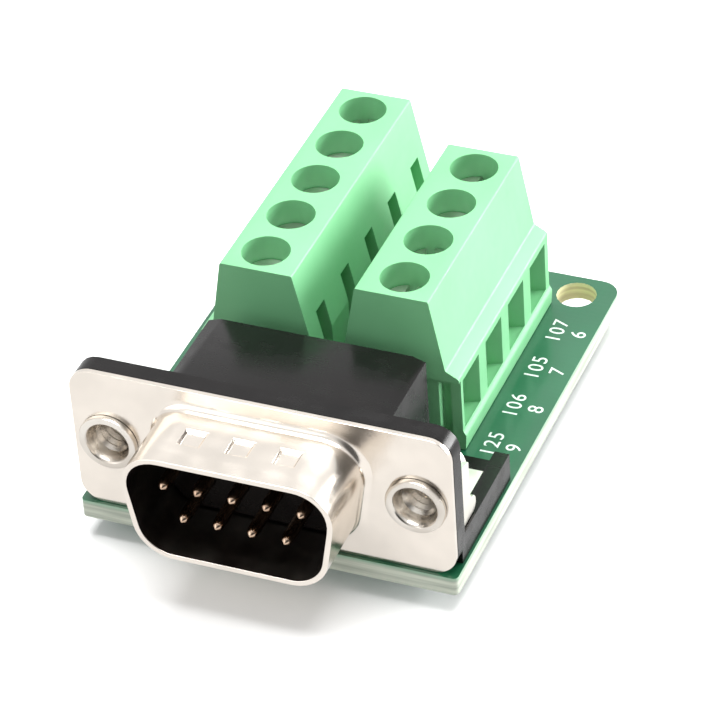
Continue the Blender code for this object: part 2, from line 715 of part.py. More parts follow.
def funnel(middle):
    """The tapered mouth of a wire entry, cut from outside the wire side's plane."""
    slope = FUNNEL_TAPER / FUNNEL_DEPTH * OVER
    wide = WINDOW_WIDTH / 2 + slope
    narrow = WINDOW_WIDTH / 2 - FUNNEL_TAPER
    mouth = (NOSE_OUT + OVER, wide, WINDOW_TOP + slope)
    throat = (NOSE_OUT - FUNNEL_DEPTH, narrow, WINDOW_TOP - FUNNEL_TAPER)
    shape = bmesh.new()
    rings = []
    for x, half, top in (mouth, throat):
        corners = ((-half, WINDOW_FLOOR), (half, WINDOW_FLOOR), (half, top), (-half, top))
        rings.append([shape.verts.new((x, middle + y, z)) for y, z in corners])
    for ring in rings:
        shape.faces.new(ring)
    for index in range(4):
        after = (index + 1) % 4
        shape.faces.new((rings[0][index], rings[0][after], rings[1][after], rings[1][index]))
    bmesh.ops.recalc_face_normals(shape, faces=shape.faces)
    return from_bmesh("funnel", shape)


def scoop(middle):
    """A V-shaped notch in the back, narrow at its top, between two poles."""
    half = SCOOP_WIDTH / 2
    outline = [(middle - half, SCOOP_FOOT), (middle + half, SCOOP_FOOT), (middle, SCOOP_APEX)]
    return prism([outline], -BACK_OUT - OVER, -BACK_OUT + SCOOP_DEPTH, "X")


def tongue(out, start, depth, grow):
    """A dovetail rib along Z, narrow at its neck, grown by its clearance."""
    neck = TONGUE_NECK / 2 + grow
    head = TONGUE_HEAD / 2 + grow
    end = start + depth
    return [(out - neck, start), (out + neck, start), (out + head, end), (out - head, end)]


def make_housing(name, poles, frame):
    """A green housing with its bores, cages' pockets, wire entries and dovetails."""
    length = poles * PITCH
    mesh = prism([block_outline()], 0.0, length, "Y")
    housing = bevel(place(name, mesh, frame, MATERIALS["terminal_green"]), HOUSING_EDGE)
    cut(housing, box((-BACK_OUT - OVER, -OVER, -OVER), (RAIL_OUT + OVER, END_STEP, END_STEP_HEIGHT)))
    cage = CAGE_LENGTH / 2 + SLIDE
    pocket = CAGE_WIDTH / 2 + SLIDE
    lead = BAR_WIDTH / 2 + SLIDE
    wire = CAGE_WIDTH / 2 - CAGE_SIDE
    throat = NOSE_OUT - FUNNEL_DEPTH / 2
    for pole in range(poles):
        middle = (pole + 0.5) * PITCH
        cut(housing, rod((0.0, middle), SCREW_BORE, HEAD_UNDER - OVER, BLOCK_HEIGHT + OVER))
        for front, rear, half, floor, top in (
            (-cage, cage, pocket, -OVER, HEAD_UNDER - SLIDE),
            (0.0, throat, wire, CAGE_FLOOR_TOP, BAR_UNDER + SLIDE),
            (TAIL_OUT - SLIDE, 0.0, lead, -OVER, BAR_TOP + SLIDE),
        ):
            cut(housing, box((front, middle - half, floor), (rear, middle + half, top)))
        cut(housing, funnel(middle))
    for joint in range(poles + 1):
        cut(housing, scoop(joint * PITCH))
    for out in TONGUE_OUT:
        groove = tongue(out, END_STEP - SLIDE, TONGUE_DEPTH + 2 * SLIDE, SLIDE)
        cut(housing, prism([groove], -OVER, END_STEP_HEIGHT - SLIDE))
        rib = tongue(out, length - SLIDE, TONGUE_DEPTH + SLIDE, 0.0)
        join(housing, prism([rib], TONGUE_FOOT, END_STEP_HEIGHT - TONGUE_FOOT))


def screw_mesh():
    """A slotted clamp screw, from the top of its head to its tip on the bar."""
    head = HEAD_DIAMETER / 2
    shank = SCREW_THREAD / 2
    tip = BAR_TOP + SEAT
    profile = [(0.0, HEAD_TOP), (head - HEAD_EDGE, HEAD_TOP), (head, HEAD_TOP - HEAD_EDGE)]
    profile += [(head, HEAD_UNDER), (shank, HEAD_UNDER), (shank, tip + HEAD_EDGE)]
    profile += [(shank - HEAD_EDGE, tip), (0.0, tip)]
    screw = place("screw", turned("screw", profile), None, MATERIALS["zinc_screw"])
    half = SLOT_WIDTH / 2
    floor = HEAD_TOP - SLOT_DEPTH
    cut(screw, box((-head - OVER, -half, floor), (head + OVER, half, HEAD_TOP + OVER)))
    return settled(screw)


def cage_mesh():
    """A rising cage: a square tube along the wire, with the screw's hole in its roof."""
    outer = CAGE_WIDTH / 2
    inner = outer - CAGE_SIDE
    section = rounded((-outer, CAGE_BOTTOM), (outer, CAGE_TOP), [CAGE_EDGE] * 4, EDGE_STEPS)
    hole = [(-inner, CAGE_FLOOR_TOP), (inner, CAGE_FLOOR_TOP)]
    hole += [(inner, CAGE_ROOF_UNDER), (-inner, CAGE_ROOF_UNDER)]
    mesh = prism([section, hole], -CAGE_LENGTH / 2, CAGE_LENGTH / 2, "X")
    cage = place("cage", mesh, None, MATERIALS["tinned_brass"])
    cut(cage, rod((0.0, 0.0), SCREW_THREAD + 2 * SLIDE, CAGE_ROOF_UNDER - OVER, CAGE_TOP + OVER))
    return settled(cage)


def terminal_pin_mesh():
    """The contact: a bar through the cage, bent down into a tail through the board."""
    half = BAR_WIDTH / 2
    bar = box((TAIL_OUT, -half, BAR_UNDER), (BAR_OUT, half, BAR_TOP))
    pin = place("pin", bar, None, MATERIALS["tinned_brass"])
    inner = TAIL_OUT + BAR_SHEET
    middle = TAIL_OUT + BAR_SHEET / 2
    point = TAIL_POINT / 2
    top = BAR_UNDER + BAR_SHEET / 2
    tail = [(TAIL_OUT, top), (TAIL_OUT, TAIL_END + TAIL_POINT), (middle - point, TAIL_END)]
    tail += [(middle + point, TAIL_END), (inner, TAIL_END + TAIL_POINT), (inner, top)]
    join(pin, prism([tail], -TAIL_WIDTH / 2, TAIL_WIDTH / 2, "Y"))
    return settled(pin)


def make_terminals(frame):
    """Both blocks, each in its own frame, with a screw, a cage and a contact at every pole."""
    screw, cage, contact = screw_mesh(), cage_mesh(), terminal_pin_mesh()
    names = ("left", "right")
    number = 0
    for name, (line, side, poles, start) in zip(names, blocks()):
        turn = 0.0 if side > 0 else math.pi
        block = new_frame(f"{name}_block", (line, start, 0.0), frame, turn)
        make_housing(f"terminal_housing_{name}", poles, block)
        for pole in reversed(range(poles)):
            number += 1
            at = (0.0, (pole + 0.5) * PITCH, 0.0)
            slot = math.radians(SLOT_ANGLES[number - 1])
            place(f"terminal_screw_{number}", screw, block, MATERIALS["zinc_screw"], at, slot)
            place(f"clamp_cage_{number}", cage, block, MATERIALS["tinned_brass"], at)
            place(f"terminal_pin_{number}", contact, block, MATERIALS["tinned_brass"], at)


clear_scene()
PARTS = new_collection("dsub_terminal_adapter", False)
CUTTERS = new_collection("cutters", True)
MATERIALS = {name: new_material(name) for name in FINISHES}
# The whole stands with the middle of its footprint on the origin.
DATUM = new_frame("adapter", (0.0, -(WHOLE_FRONT + WHOLE_REAR) / 2, -TAIL_END), None)
make_board(DATUM)
make_shell(DATUM)
make_insulator(DATUM)
make_plug_pins(DATUM)
make_inserts(DATUM)
make_straps(DATUM)
make_terminals(DATUM)
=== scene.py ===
"""Looks of the D-sub to screw terminal adapter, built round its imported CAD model.

Lengths are in metres in the model's own frame: +Z is up, and +Y runs from the plug to the rear.
Each sub-assembly is a class that builds its pieces, dresses them and seats them on their bodies.
"""

import logging
import math
from collections.abc import Callable, Iterator, Sequence
from contextlib import contextmanager
from dataclasses import dataclass
from enum import Enum

import bpy
from mathutils import Matrix, Vector


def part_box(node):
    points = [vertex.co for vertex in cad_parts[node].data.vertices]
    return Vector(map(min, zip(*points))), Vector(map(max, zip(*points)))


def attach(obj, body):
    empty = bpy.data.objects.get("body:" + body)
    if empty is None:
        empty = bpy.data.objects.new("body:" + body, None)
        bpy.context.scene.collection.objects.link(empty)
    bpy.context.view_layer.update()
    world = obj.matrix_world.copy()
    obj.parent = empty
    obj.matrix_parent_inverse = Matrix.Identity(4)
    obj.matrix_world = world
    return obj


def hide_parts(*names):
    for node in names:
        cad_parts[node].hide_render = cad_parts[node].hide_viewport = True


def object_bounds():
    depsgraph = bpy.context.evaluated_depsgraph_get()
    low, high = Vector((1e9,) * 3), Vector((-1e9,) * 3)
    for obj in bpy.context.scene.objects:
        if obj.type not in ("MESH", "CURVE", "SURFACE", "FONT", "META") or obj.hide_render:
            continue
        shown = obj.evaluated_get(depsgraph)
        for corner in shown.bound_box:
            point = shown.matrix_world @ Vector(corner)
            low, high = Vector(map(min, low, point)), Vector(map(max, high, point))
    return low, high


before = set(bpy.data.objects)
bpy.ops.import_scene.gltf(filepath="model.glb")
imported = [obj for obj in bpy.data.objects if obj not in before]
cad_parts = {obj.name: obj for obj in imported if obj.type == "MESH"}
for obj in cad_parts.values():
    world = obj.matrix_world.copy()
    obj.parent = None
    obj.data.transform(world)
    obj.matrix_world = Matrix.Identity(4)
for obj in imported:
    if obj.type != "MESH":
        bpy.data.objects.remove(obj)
PACKED_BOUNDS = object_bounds()

LOG = logging.getLogger("adapter")
MM = 0.001
WELD = 0.001 * MM
FLAT_ANGLE = math.radians(1)
SMOOTH_ANGLE = math.radians(32)
RIGHT_ANGLE = math.radians(90)
ROUND_SIDES = 48

# The turn that stands a flat primitive up across the plug.
UPRIGHT = (RIGHT_ANGLE, 0.0, 0.0)

# How much of a direction lies along an axis when it runs with it, and when it leans to it.
PARALLEL = 0.99
FACING = 0.5

# The numbers of the plug's pins, and of the terminals.
WAYS = range(1, 10)

# How far the wave texture turns in one unit at a scale of 1, in radians.
WAVE_RATE = 20

Triple = tuple[float, float, float]
Section = tuple[float, float]
Test = Callable[[Vector, Vector], bool]
Piece = bpy.types.Object
Material = bpy.types.Material
Tree = bpy.types.NodeTree
Node = bpy.types.Node
Socket = bpy.types.NodeSocket


class Pick(Enum):
    """What a step in edit mode works on."""

    POINTS = "VERT"
    EDGES = "EDGE"
    FACES = "FACE"


class Side(Enum):
    """The two long sides of the adapter."""

    LEFT = -1
    RIGHT = 1

    @property
    def word(self) -> str:
        """The side's name as the CAD nodes spell it."""
        return self.name.lower()


class BoardFace(Enum):
    """The finishes of the board's faces, as places in its list of materials."""

    MASK = 0
    SAWN = 1
    BARE = 2
    PLATED = 3


# The first and the last terminal of each block.
POLES = {Side.LEFT: (1, 5), Side.RIGHT: (6, 9)}


def around(middle: float, half: float) -> Section:
    """The two ends of a stretch round its middle."""
    return middle - half, middle + half


def everything(place: Vector, direction: Vector) -> bool:
    """A test that picks every point, edge or face."""
    return True


def focus(piece: Piece) -> None:
    """Makes the piece the only selected object and the active one.

    Args:
        piece: the object that the next operator works on.
    """
    bpy.ops.object.select_all(action="DESELECT")
    piece.select_set(True)
    bpy.context.view_layer.objects.active = piece


def mark(piece: Piece, kind: Pick, test: Test) -> None:
    """Flags the points, edges or faces that a test picks.

    Args:
        piece: the mesh object, in object mode.
        kind: what is flagged.
        test: takes a place and a normal, or an edge's direction.
    """
    mesh = piece.data
    if kind is Pick.FACES:
        for face in mesh.polygons:
            face.select = test(face.center, face.normal)
    elif kind is Pick.EDGES:
        for edge in mesh.edges:
            start, end = (mesh.vertices[index].co for index in edge.vertices)
            edge.select = test((start + end) / 2, (end - start).normalized())
    else:
        for point in mesh.vertices:
            point.select = test(point.co, point.normal)


@contextmanager
def editing(piece: Piece, kind: Pick = Pick.POINTS, test: Test = everything) -> Iterator[None]:
    """Opens the piece in edit mode with only what the test picks selected.

    Args:
        piece: the mesh object to edit.
        kind: what is selected.
        test: takes a place and a normal, or an edge's direction.

    Returns:
        Nothing to the block, which runs in edit mode.
    """
    focus(piece)
    bpy.ops.object.mode_set(mode="EDIT")
    bpy.ops.mesh.select_mode(type=kind.value)
    bpy.ops.mesh.select_all(action="DESELECT")
    bpy.ops.object.mode_set(mode="OBJECT")
    mark(piece, kind, test)
    bpy.ops.object.mode_set(mode="EDIT")
    yield
    bpy.ops.object.mode_set(mode="OBJECT")


def apply(piece: Piece, kind: str, **settings: object) -> None:
    """Adds one modifier with its settings and applies it.

    Args:
        piece: the mesh object.
        kind: the modifier's type.
        settings: the modifier's own properties.
    """
    focus(piece)
    modifier = piece.modifiers.new(kind.lower(), kind)
    for name, value in settings.items():
        setattr(modifier, name, value)
    bpy.ops.object.modifier_apply(modifier=modifier.name)


def carve(piece: Piece, tool: Piece) -> None:
    """Cuts the tool's shape out of the piece and removes the tool.

    Args:
        piece: the mesh object that is cut.
        tool: a closed mesh object.
    """
    apply(piece, "BOOLEAN", operation="DIFFERENCE", object=tool, solver="EXACT")
    bpy.data.objects.remove(tool, do_unlink=True)


def weld(piece: Piece, part: Piece) -> None:
    """Fuses a part to the piece and removes the part.

    Args:
        piece: the mesh object that grows.
        part: a closed mesh object.
    """
    apply(piece, "BOOLEAN", operation="UNION", object=part, solver="EXACT")
    bpy.data.objects.remove(part, do_unlink=True)


def soften(piece: Piece, width: float, steps: int = 2) -> None:
    """Rounds the sharp edges and shades the rest smooth.

    Args:
        piece: the mesh object.
        width: how wide the rounding is.
        steps: how many faces cross it.
    """
    shade(piece)
    apply(
        piece,
        "BEVEL",
        width=width,
        segments=steps,
        limit_method="ANGLE",
        angle_limit=SMOOTH_ANGLE,
        use_clamp_overlap=True,
        harden_normals=True,
    )


def shade(piece: Piece) -> None:
    """Shades the piece smooth, apart from its sharp edges."""
    focus(piece)
    bpy.ops.object.shade_smooth_by_angle(angle=SMOOTH_ANGLE)


def settle(piece: Piece) -> None:
    """Puts the object's place, turn and scale into its mesh."""
    focus(piece)
    bpy.ops.object.transform_apply(location=True, rotation=True, scale=True)


def added(name: str) -> Piece:
    """Names the primitive that was just added, and settles it.

    Args:
        name: the new object's name.

    Returns:
        The new object.
    """
    piece = bpy.context.view_layer.objects.active
    piece.name = name
    settle(piece)
    return piece


def block(name: str, low: Sequence[float], high: Sequence[float]) -> Piece:
    """A box between two corners.

    Args:
        name: the object's name.
        low: its lowest corner.
        high: its highest corner.

    Returns:
        The mesh object.
    """
    bpy.ops.object.select_all(action="DESELECT")
    middle = (Vector(low) + Vector(high)) / 2
    bpy.ops.mesh.primitive_cube_add(size=1.0, location=middle, scale=Vector(high) - Vector(low))
    return added(name)


def drawn(name: str, outline: Sequence[Section], low: float, high: float, edge: float) -> Piece:
    """A straight bar along Y with softened long edges.

    Args:
        name: the object's name.
        outline: its section's corners, as X and Z.
        low: where it starts.
        high: where it ends.
        edge: how wide its long edges are rounded.

    Returns:
        The mesh object.
    """
    bpy.ops.object.select_all(action="DESELECT")
    bpy.ops.mesh.primitive_circle_add(vertices=len(outline), radius=1.0, fill_type="NGON")
    bar = added(name)
    for point, (x, z) in zip(bar.data.vertices, outline):
        point.co = (x, low, z)
    with editing(bar):
        bpy.ops.mesh.extrude_region_move(TRANSFORM_OT_translate={"value": (0.0, high - low, 0.0)})
        bpy.ops.mesh.select_all(action="SELECT")
        bpy.ops.mesh.normals_make_consistent(inside=False)
    with editing(bar, Pick.EDGES, lambda _, way: abs(way.y) > PARALLEL):
        bpy.ops.mesh.bevel(offset=edge, segments=3)
    return bar


def turned(name: str, sections: Sequence[Section], sides: int, hollow: bool = False) -> Piece:
    """A turned piece about Z, drawn out section by section.

    Args:
        name: the object's name.
        sections: each section's radius and height, in order.
        sides: how many sides the piece has.
        hollow: True closes the sections into a ring, False caps both ends.

    Returns:
        The mesh object.
    """
    bpy.ops.object.select_all(action="DESELECT")
    radius, height = sections[0]
    bpy.ops.mesh.primitive_circle_add(vertices=sides, radius=radius, location=(0.0, 0.0, height))
    piece = added(name)
    with editing(piece):
        for (radius, height), (wider, higher) in zip(sections, sections[1:]):
            rise = {"value": (0.0, 0.0, higher - height)}
            bpy.ops.mesh.extrude_region_move(TRANSFORM_OT_translate=rise)
            share = wider / radius
            bpy.ops.transform.resize(value=(share, share, 1.0), center_override=(0.0, 0.0, higher))
        bpy.ops.mesh.select_all(action="SELECT")
        bpy.ops.mesh.remove_doubles(threshold=WELD)
        if not hollow:
            bpy.ops.mesh.fill_holes(sides=0)
        bpy.ops.mesh.select_all(action="SELECT")
        bpy.ops.mesh.normals_make_consistent(inside=False)
    return piece


def helix(name: str, root: float, crest: float, low: float, pitch: float, turns: float) -> Piece:
    """One ridge of a screw thread about Z.

    Args:
        name: the object's name.
        root: the radius where the ridge starts.
        crest: the radius of its tip, inside the root for a nut.
        low: the height where it starts.
        pitch: its rise in one turn.
        turns: how many turns it makes.

    Returns:
        The mesh object, closed at both ends.
    """
    bpy.ops.object.select_all(action="DESELECT")
    bpy.ops.mesh.primitive_circle_add(vertices=3, radius=1.0, rotation=UPRIGHT)
    piece = added(name)
    half = pitch / 2 - WELD
    corners = ((root, -half), (crest, 0.0), (root, half))
    for point, (radius, height) in zip(piece.data.vertices, corners):
        point.co = (radius, 0.0, low + half + height)
    whole = math.ceil(turns)
    apply(
        piece,
        "SCREW",
        angle=math.tau * turns / whole,
        screw_offset=pitch * turns / whole,
        iterations=whole,
        steps=24,
        render_steps=24,
        use_merge_vertices=False,
    )
    with editing(piece):
        bpy.ops.mesh.fill_holes(sides=0)
        bpy.ops.mesh.select_all(action="SELECT")
        bpy.ops.mesh.normals_make_consistent(inside=False)
    return piece


def joined(name: str, pieces: Sequence[Piece]) -> Piece:
    """Joins several meshes into one object.

    Args:
        name: the joined object's name.
        pieces: the objects, of which the first takes in the others.

    Returns:
        The joined object.
    """
    bpy.ops.object.select_all(action="DESELECT")
    for piece in pieces:
        piece.select_set(True)
    bpy.context.view_layer.objects.active = pieces[0]
    bpy.ops.object.join()
    pieces[0].name = name
    return pieces[0]


def duplicate(source: Piece, name: str, place: Matrix) -> Piece:
    """A copy of a piece with its own mesh, moved inside that mesh.

    Args:
        source: the piece that is copied.
        name: the copy's name.
        place: where the copy goes.

    Returns:
        The copy.
    """
    piece = bpy.data.objects.new(name, source.data.copy())
    piece.data.transform(place)
    bpy.context.scene.collection.objects.link(piece)
    return piece


def copied(node: str, name: str) -> Piece:
    """A copy of a CAD node's mesh, merged and cleared of the lines inside its flat faces.

    Args:
        node: the CAD node's name.
        name: the copy's name.

    Returns:
        The copy, with no material.
    """
    piece = duplicate(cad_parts[node], name, Matrix())
    piece.data.materials.clear()
    with editing(piece):
        bpy.ops.mesh.remove_doubles(threshold=WELD)
        bpy.ops.mesh.dissolve_limited(angle_limit=FLAT_ANGLE)
    return piece


def seat(
    piece: Piece,
    body: str,
    materials: Sequence[Material],
    nodes: Sequence[str] = (),
) -> None:
    """Dresses a finished piece and seats it on its body.

    Args:
        piece: the finished mesh object.
        body: the CAD body that carries it.
        materials: its materials, in the order of its face indices.
        nodes: the CAD nodes that it stands for.
    """
    piece.data.materials.clear()
    for material in materials:
        piece.data.materials.append(material)
    if nodes:
        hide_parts(*nodes)
    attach(piece, body)
    LOG.info("%s: %d faces, on %s", piece.name, len(piece.data.polygons), body)


def connect(tree: Tree, node: Node, inputs: dict[str | int, object]) -> None:
    """Wires sockets to a shader node and sets its constants.

    Args:
        tree: the node's tree.
        node: the shader node.
        inputs: a socket or a constant for each input, by name or number.
    """
    for name, value in inputs.items():
        if isinstance(value, Socket):
            tree.links.new(value, node.inputs[name])
        else:
            node.inputs[name].default_value = value


def wired(tree: Tree, kind: str, inputs: dict[str | int, object], **settings: object) -> Node:
    """Adds one shader node and wires its inputs.

    Args:
        tree: the tree that gets the node.
        kind: the node's type.
        inputs: a socket or a constant for each input, by name or number.
        settings: the node's own properties.

    Returns:
        The node.
    """
    node = tree.nodes.new(kind)
    for name, value in settings.items():
        setattr(node, name, value)
    connect(tree, node, inputs)
    return node


def noise(tree: Tree, place: Socket, scale: Socket, **inputs: float) -> Socket:
    """Places a noise texture.

    Args:
        tree: the tree that gets the node.
        place: where the texture is read.
        scale: how fine it is.
        inputs: its other inputs.

    Returns:
        The noise, from 0 to 1.
    """
    return wired(tree, "ShaderNodeTexNoise", {"Vector": place, "Scale": scale, **inputs}).outputs[0]


def bumped(tree: Tree, height: Socket, depth: float, strength: float = 1.0) -> Socket:
    """Turns a height into a relief.

    Args:
        tree: the tree that gets the node.
        height: the height, from 0 to 1.
        depth: how deep the relief is.
        strength: how much of it shows.

    Returns:
        The normal.
    """
    inputs = {"Height": height, "Strength": strength, "Distance": depth}
    return wired(tree, "ShaderNodeBump", inputs).outputs[0]


def narrowed(tree: Tree, value: Socket, low: float, high: float, **settings: object) -> Socket:
    """Makes a mask of a value.

    Args:
        tree: the tree that gets the node.
        value: the value.
        low: what becomes 0.
        high: what becomes 1.
        settings: the node's own properties.

    Returns:
        The mask.
    """
    inputs = {"Value": value, "From Min": low, "From Max": high}
    return wired(tree, "ShaderNodeMapRange", inputs, **settings).outputs[0]


def spread(tree: Tree, value: Socket, low: float, high: float) -> Socket:
    """Stretches a value from 0 to 1 over a range.

    Args:
        tree: the tree that gets the node.
        value: the value.
        low: what 0 becomes.
        high: what 1 becomes.

    Returns:
        The stretched value.
    """
    inputs = {"Value": value, "To Min": low, "To Max": high}
    return wired(tree, "ShaderNodeMapRange", inputs).outputs[0]


class Effect:
    """A shader group with named inputs and outputs, built once and placed in many materials."""

    def __init__(
        self,
        name: str,
        floats: Sequence[str],
        colours: Sequence[str],
        results: dict[str, str],
    ) -> None:
        """Makes the group's sockets.

        Args:
            name: the group's name.
            floats: its number inputs.
            colours: its colour inputs.
            results: each output's name and socket type.
        """
        self.tree = bpy.data.node_groups.new(name, "ShaderNodeTree")
        face = self.tree.interface
        face.new_socket("Vector", in_out="INPUT", socket_type="NodeSocketVector")
        for title in floats:
            face.new_socket(title, in_out="INPUT", socket_type="NodeSocketFloat")
        for title in colours:
            face.new_socket(title, in_out="INPUT", socket_type="NodeSocketColor")
        for title, kind in results.items():
            face.new_socket(title, in_out="OUTPUT", socket_type=kind)
        self.given = self.tree.nodes.new("NodeGroupInput").outputs
        self.made = self.tree.nodes.new("NodeGroupOutput").inputs

    def give(self, title: str, value: Socket) -> None:
        """Wires a value to one of the group's outputs."""
        self.tree.links.new(value, self.made[title])

    def use(self, tree: Tree, **inputs: object) -> Node:
        """Places the group in a material.

        Args:
            tree: the material's tree.
            inputs: a socket or a constant for each input.

        Returns:
            The group's node.
        """
        return wired(tree, "ShaderNodeGroup", inputs, node_tree=self.tree)


def grain_effect() -> Effect:
    """The fine grain that a mould or a plating bath leaves.

    Returns:
        The group, which puts out Height.
    """
    effect = Effect("surface_grain", ["Scale"], [], {"Height": "NodeSocketFloat"})
    tree, place, scale = effect.tree, effect.given["Vector"], effect.given["Scale"]
    fine = noise(tree, place, scale, Detail=3.0)
    pits = wired(tree, "ShaderNodeTexVoronoi", {"Vector": place, "Scale": scale}).outputs[0]
    total = wired(tree, "ShaderNodeMath", {0: fine, 1: pits}, operation="ADD")
    effect.give("Height", total.outputs[0])
    return effect


def drift_effect() -> Effect:
    """Slow changes of tone over a surface, between two colours.

    Returns:
        The group, which puts out Color and Mask.
    """
    results = {"Color": "NodeSocketColor", "Mask": "NodeSocketFloat"}
    effect = Effect("tone_drift", ["Scale"], ["Pale", "Deep"], results)
    slow = noise(effect.tree, effect.given["Vector"], effect.given["Scale"], Detail=2.0)
    mask = narrowed(effect.tree, slow, low=0.35, high=0.65)
    tones = {0: mask, 6: effect.given["Pale"], 7: effect.given["Deep"]}
    effect.give("Color", wired(effect.tree, "ShaderNodeMix", tones, data_type="RGBA").outputs[2])
    effect.give("Mask", mask)
    return effect


def handling_effect() -> Effect:
    """Smudges and hairline scratches from handling.

    Returns:
        The group, which puts out Mask, 1 where the surface is marked.
    """
    effect = Effect("handling_marks", ["Scale", "Stretch"], [], {"Mask": "NodeSocketFloat"})
    tree, place, scale = effect.tree, effect.given["Vector"], effect.given["Scale"]
    ways = wired(tree, "ShaderNodeCombineXYZ", {0: effect.given["Stretch"], 1: 1.0, 2: 1.0})
    drawn_out = {0: place, 1: ways.outputs[0]}
    long_way = wired(tree, "ShaderNodeVectorMath", drawn_out, operation="MULTIPLY").outputs[0]
    hairs = noise(tree, long_way, scale, Detail=5.0, Roughness=0.7)
    smudges = noise(tree, place, scale, Detail=1.0)
    both = wired(tree, "ShaderNodeMath", {0: hairs, 1: smudges}, operation="MULTIPLY")
    effect.give("Mask", narrowed(tree, both.outputs[0], low=0.15, high=0.4))
    return effect


GRAIN = grain_effect()
DRIFT = drift_effect()
HANDLING = handling_effect()


class Finish:
    """A material in the making, with its tree, its shader and its object coordinates."""

    def __init__(self, name: str) -> None:
        """Starts the material.

        Args:
            name: the material's name.
        """
        self.material = bpy.data.materials.new(name)
        self.material.use_nodes = True
        self.tree = self.material.node_tree
        self.place = wired(self.tree, "ShaderNodeTexCoord", {}).outputs["Object"]

    def drift(self, pale: Triple, deep: Triple, scale: float, place: Socket | None = None) -> Node:
        """Places the slow drift between two tones.

        Args:
            pale: the paler tone.
            deep: the deeper tone.
            scale: how fine the drift is.
            place: where it is read, or None for the object coordinates.

        Returns:
            The group's node.
        """
        tones = {"Pale": (*pale, 1.0), "Deep": (*deep, 1.0)}
        return DRIFT.use(self.tree, Vector=place or self.place, Scale=scale, **tones)

    def marks(self, scale: float, stretch: float, clean: float, worn: float) -> Socket:
        """Places the marks of handling on a roughness.

        Args:
            scale: how fine they are.
            stretch: how long the hairlines are drawn across, 1 for not at all.
            clean: the roughness without marks.
            worn: the roughness of a mark.

        Returns:
            The roughness.
        """
        mask = HANDLING.use(self.tree, Vector=self.place, Scale=scale, Stretch=stretch).outputs[0]
        return spread(self.tree, mask, clean, worn)

    def grain(self, scale: float, depth: float, strength: float = 1.0) -> Socket:
        """Places the fine grain as a relief.

        Args:
            scale: how fine it is.
            depth: how deep it is.
            strength: how much of it shows.

        Returns:
            The normal.
        """
        height = GRAIN.use(self.tree, Vector=self.place, Scale=scale).outputs[0]
        return bumped(self.tree, height, depth, strength)

    def done(self, inputs: dict[str, object]) -> Material:
        """Wires the shader.

        Args:
            inputs: a socket or a constant for each input of the shader.

        Returns:
            The material.
        """
        connect(self.tree, self.tree.nodes["Principled BSDF"], inputs)
        return self.material


@dataclass(frozen=True)
class Moulding:
    """A moulded plastic: two near tones, a satin roughness and the mould's fine grain."""

    name: str
    pale: Triple
    deep: Triple
    roughness: float
    grain_depth: float
    shine: float = 0.5
    tone_scale: float = 160.0
    grain_scale: float = 9000.0
    grain_strength: float = 0.5
    mark_scale: float = 700.0
    mark_stretch: float = 0.2
    wear: float = 0.12

    def material(self) -> Material:
        """Builds the finish.

        Returns:
            The material.
        """
        finish = Finish(self.name)
        tone = finish.drift(self.pale, self.deep, self.tone_scale)
        worn = self.roughness + self.wear
        rough = finish.marks(self.mark_scale, self.mark_stretch, self.roughness, worn)
        normal = finish.grain(self.grain_scale, self.grain_depth, self.grain_strength)
        inputs = {"Base Color": tone.outputs["Color"], "Roughness": rough, "Normal": normal}
        return finish.done({**inputs, "Specular IOR Level": self.shine})


@dataclass(frozen=True)
class Plating:
    """A plated metal: its tone, a smudged roughness and a faint drawn grain."""

    name: str
    pale: Triple
    deep: Triple
    roughness: float
    dull: float
    tone_scale: float = 300.0
    grain_scale: float = 4000.0
    grain_depth: float = 0.004 * MM
    grain_strength: float = 0.3
    mark_scale: float = 500.0
    mark_stretch: float = 0.08

    def material(self) -> Material:
        """Builds the finish.

        Returns:
            The material.
        """
        finish = Finish(self.name)
        tone = finish.drift(self.pale, self.deep, self.tone_scale)
        rough = finish.marks(self.mark_scale, self.mark_stretch, self.roughness, self.dull)
        normal = finish.grain(self.grain_scale, self.grain_depth, self.grain_strength)
        inputs = {"Base Color": tone.outputs["Color"], "Roughness": rough, "Normal": normal}
        return finish.done({**inputs, "Metallic": 1.0})


@dataclass(frozen=True)
class SolderMask:
    """Green solder mask over a faint glass weave, with a glossy coat."""

    name: str
    pale: Triple
    deep: Triple
    tone_scale: float = 90.0
    weave_pitch: float = 0.5 * MM
    weave_depth: float = 0.003 * MM
    weave_strength: float = 0.4
    weave_unevenness: float = 0.4
    mark_scale: float = 250.0
    mark_stretch: float = 0.3
    roughness: float = 0.3
    wear: float = 0.15
    coat: float = 0.55
    coat_roughness: float = 0.1

    def threads(self, finish: Finish, way: str) -> Socket:
        """Places the glass threads that run one way.

        Args:
            finish: the material.
            way: the axis across the threads, as Blender spells it.

        Returns:
            The threads' height.
        """
        scale = math.tau / self.weave_pitch / WAVE_RATE
        inputs = {"Vector": finish.place, "Scale": scale, "Distortion": self.weave_unevenness}
        return wired(finish.tree, "ShaderNodeTexWave", inputs, bands_direction=way).outputs[1]

    def material(self) -> Material:
        """Builds the finish.

        Returns:
            The material.
        """
        finish = Finish(self.name)
        tone = finish.drift(self.pale, self.deep, self.tone_scale)
        crossed = {0: self.threads(finish, "X"), 1: self.threads(finish, "Y")}
        weave = wired(finish.tree, "ShaderNodeMath", crossed, operation="ADD").outputs[0]
        worn = self.roughness + self.wear
        coating = {"Coat Weight": self.coat, "Coat Roughness": self.coat_roughness}
        return finish.done(
            {
                "Base Color": tone.outputs["Color"],
                "Roughness": finish.marks(self.mark_scale, self.mark_stretch, self.roughness, worn),
                "Normal": bumped(finish.tree, weave, self.weave_depth, self.weave_strength),
                **coating,
            }
        )


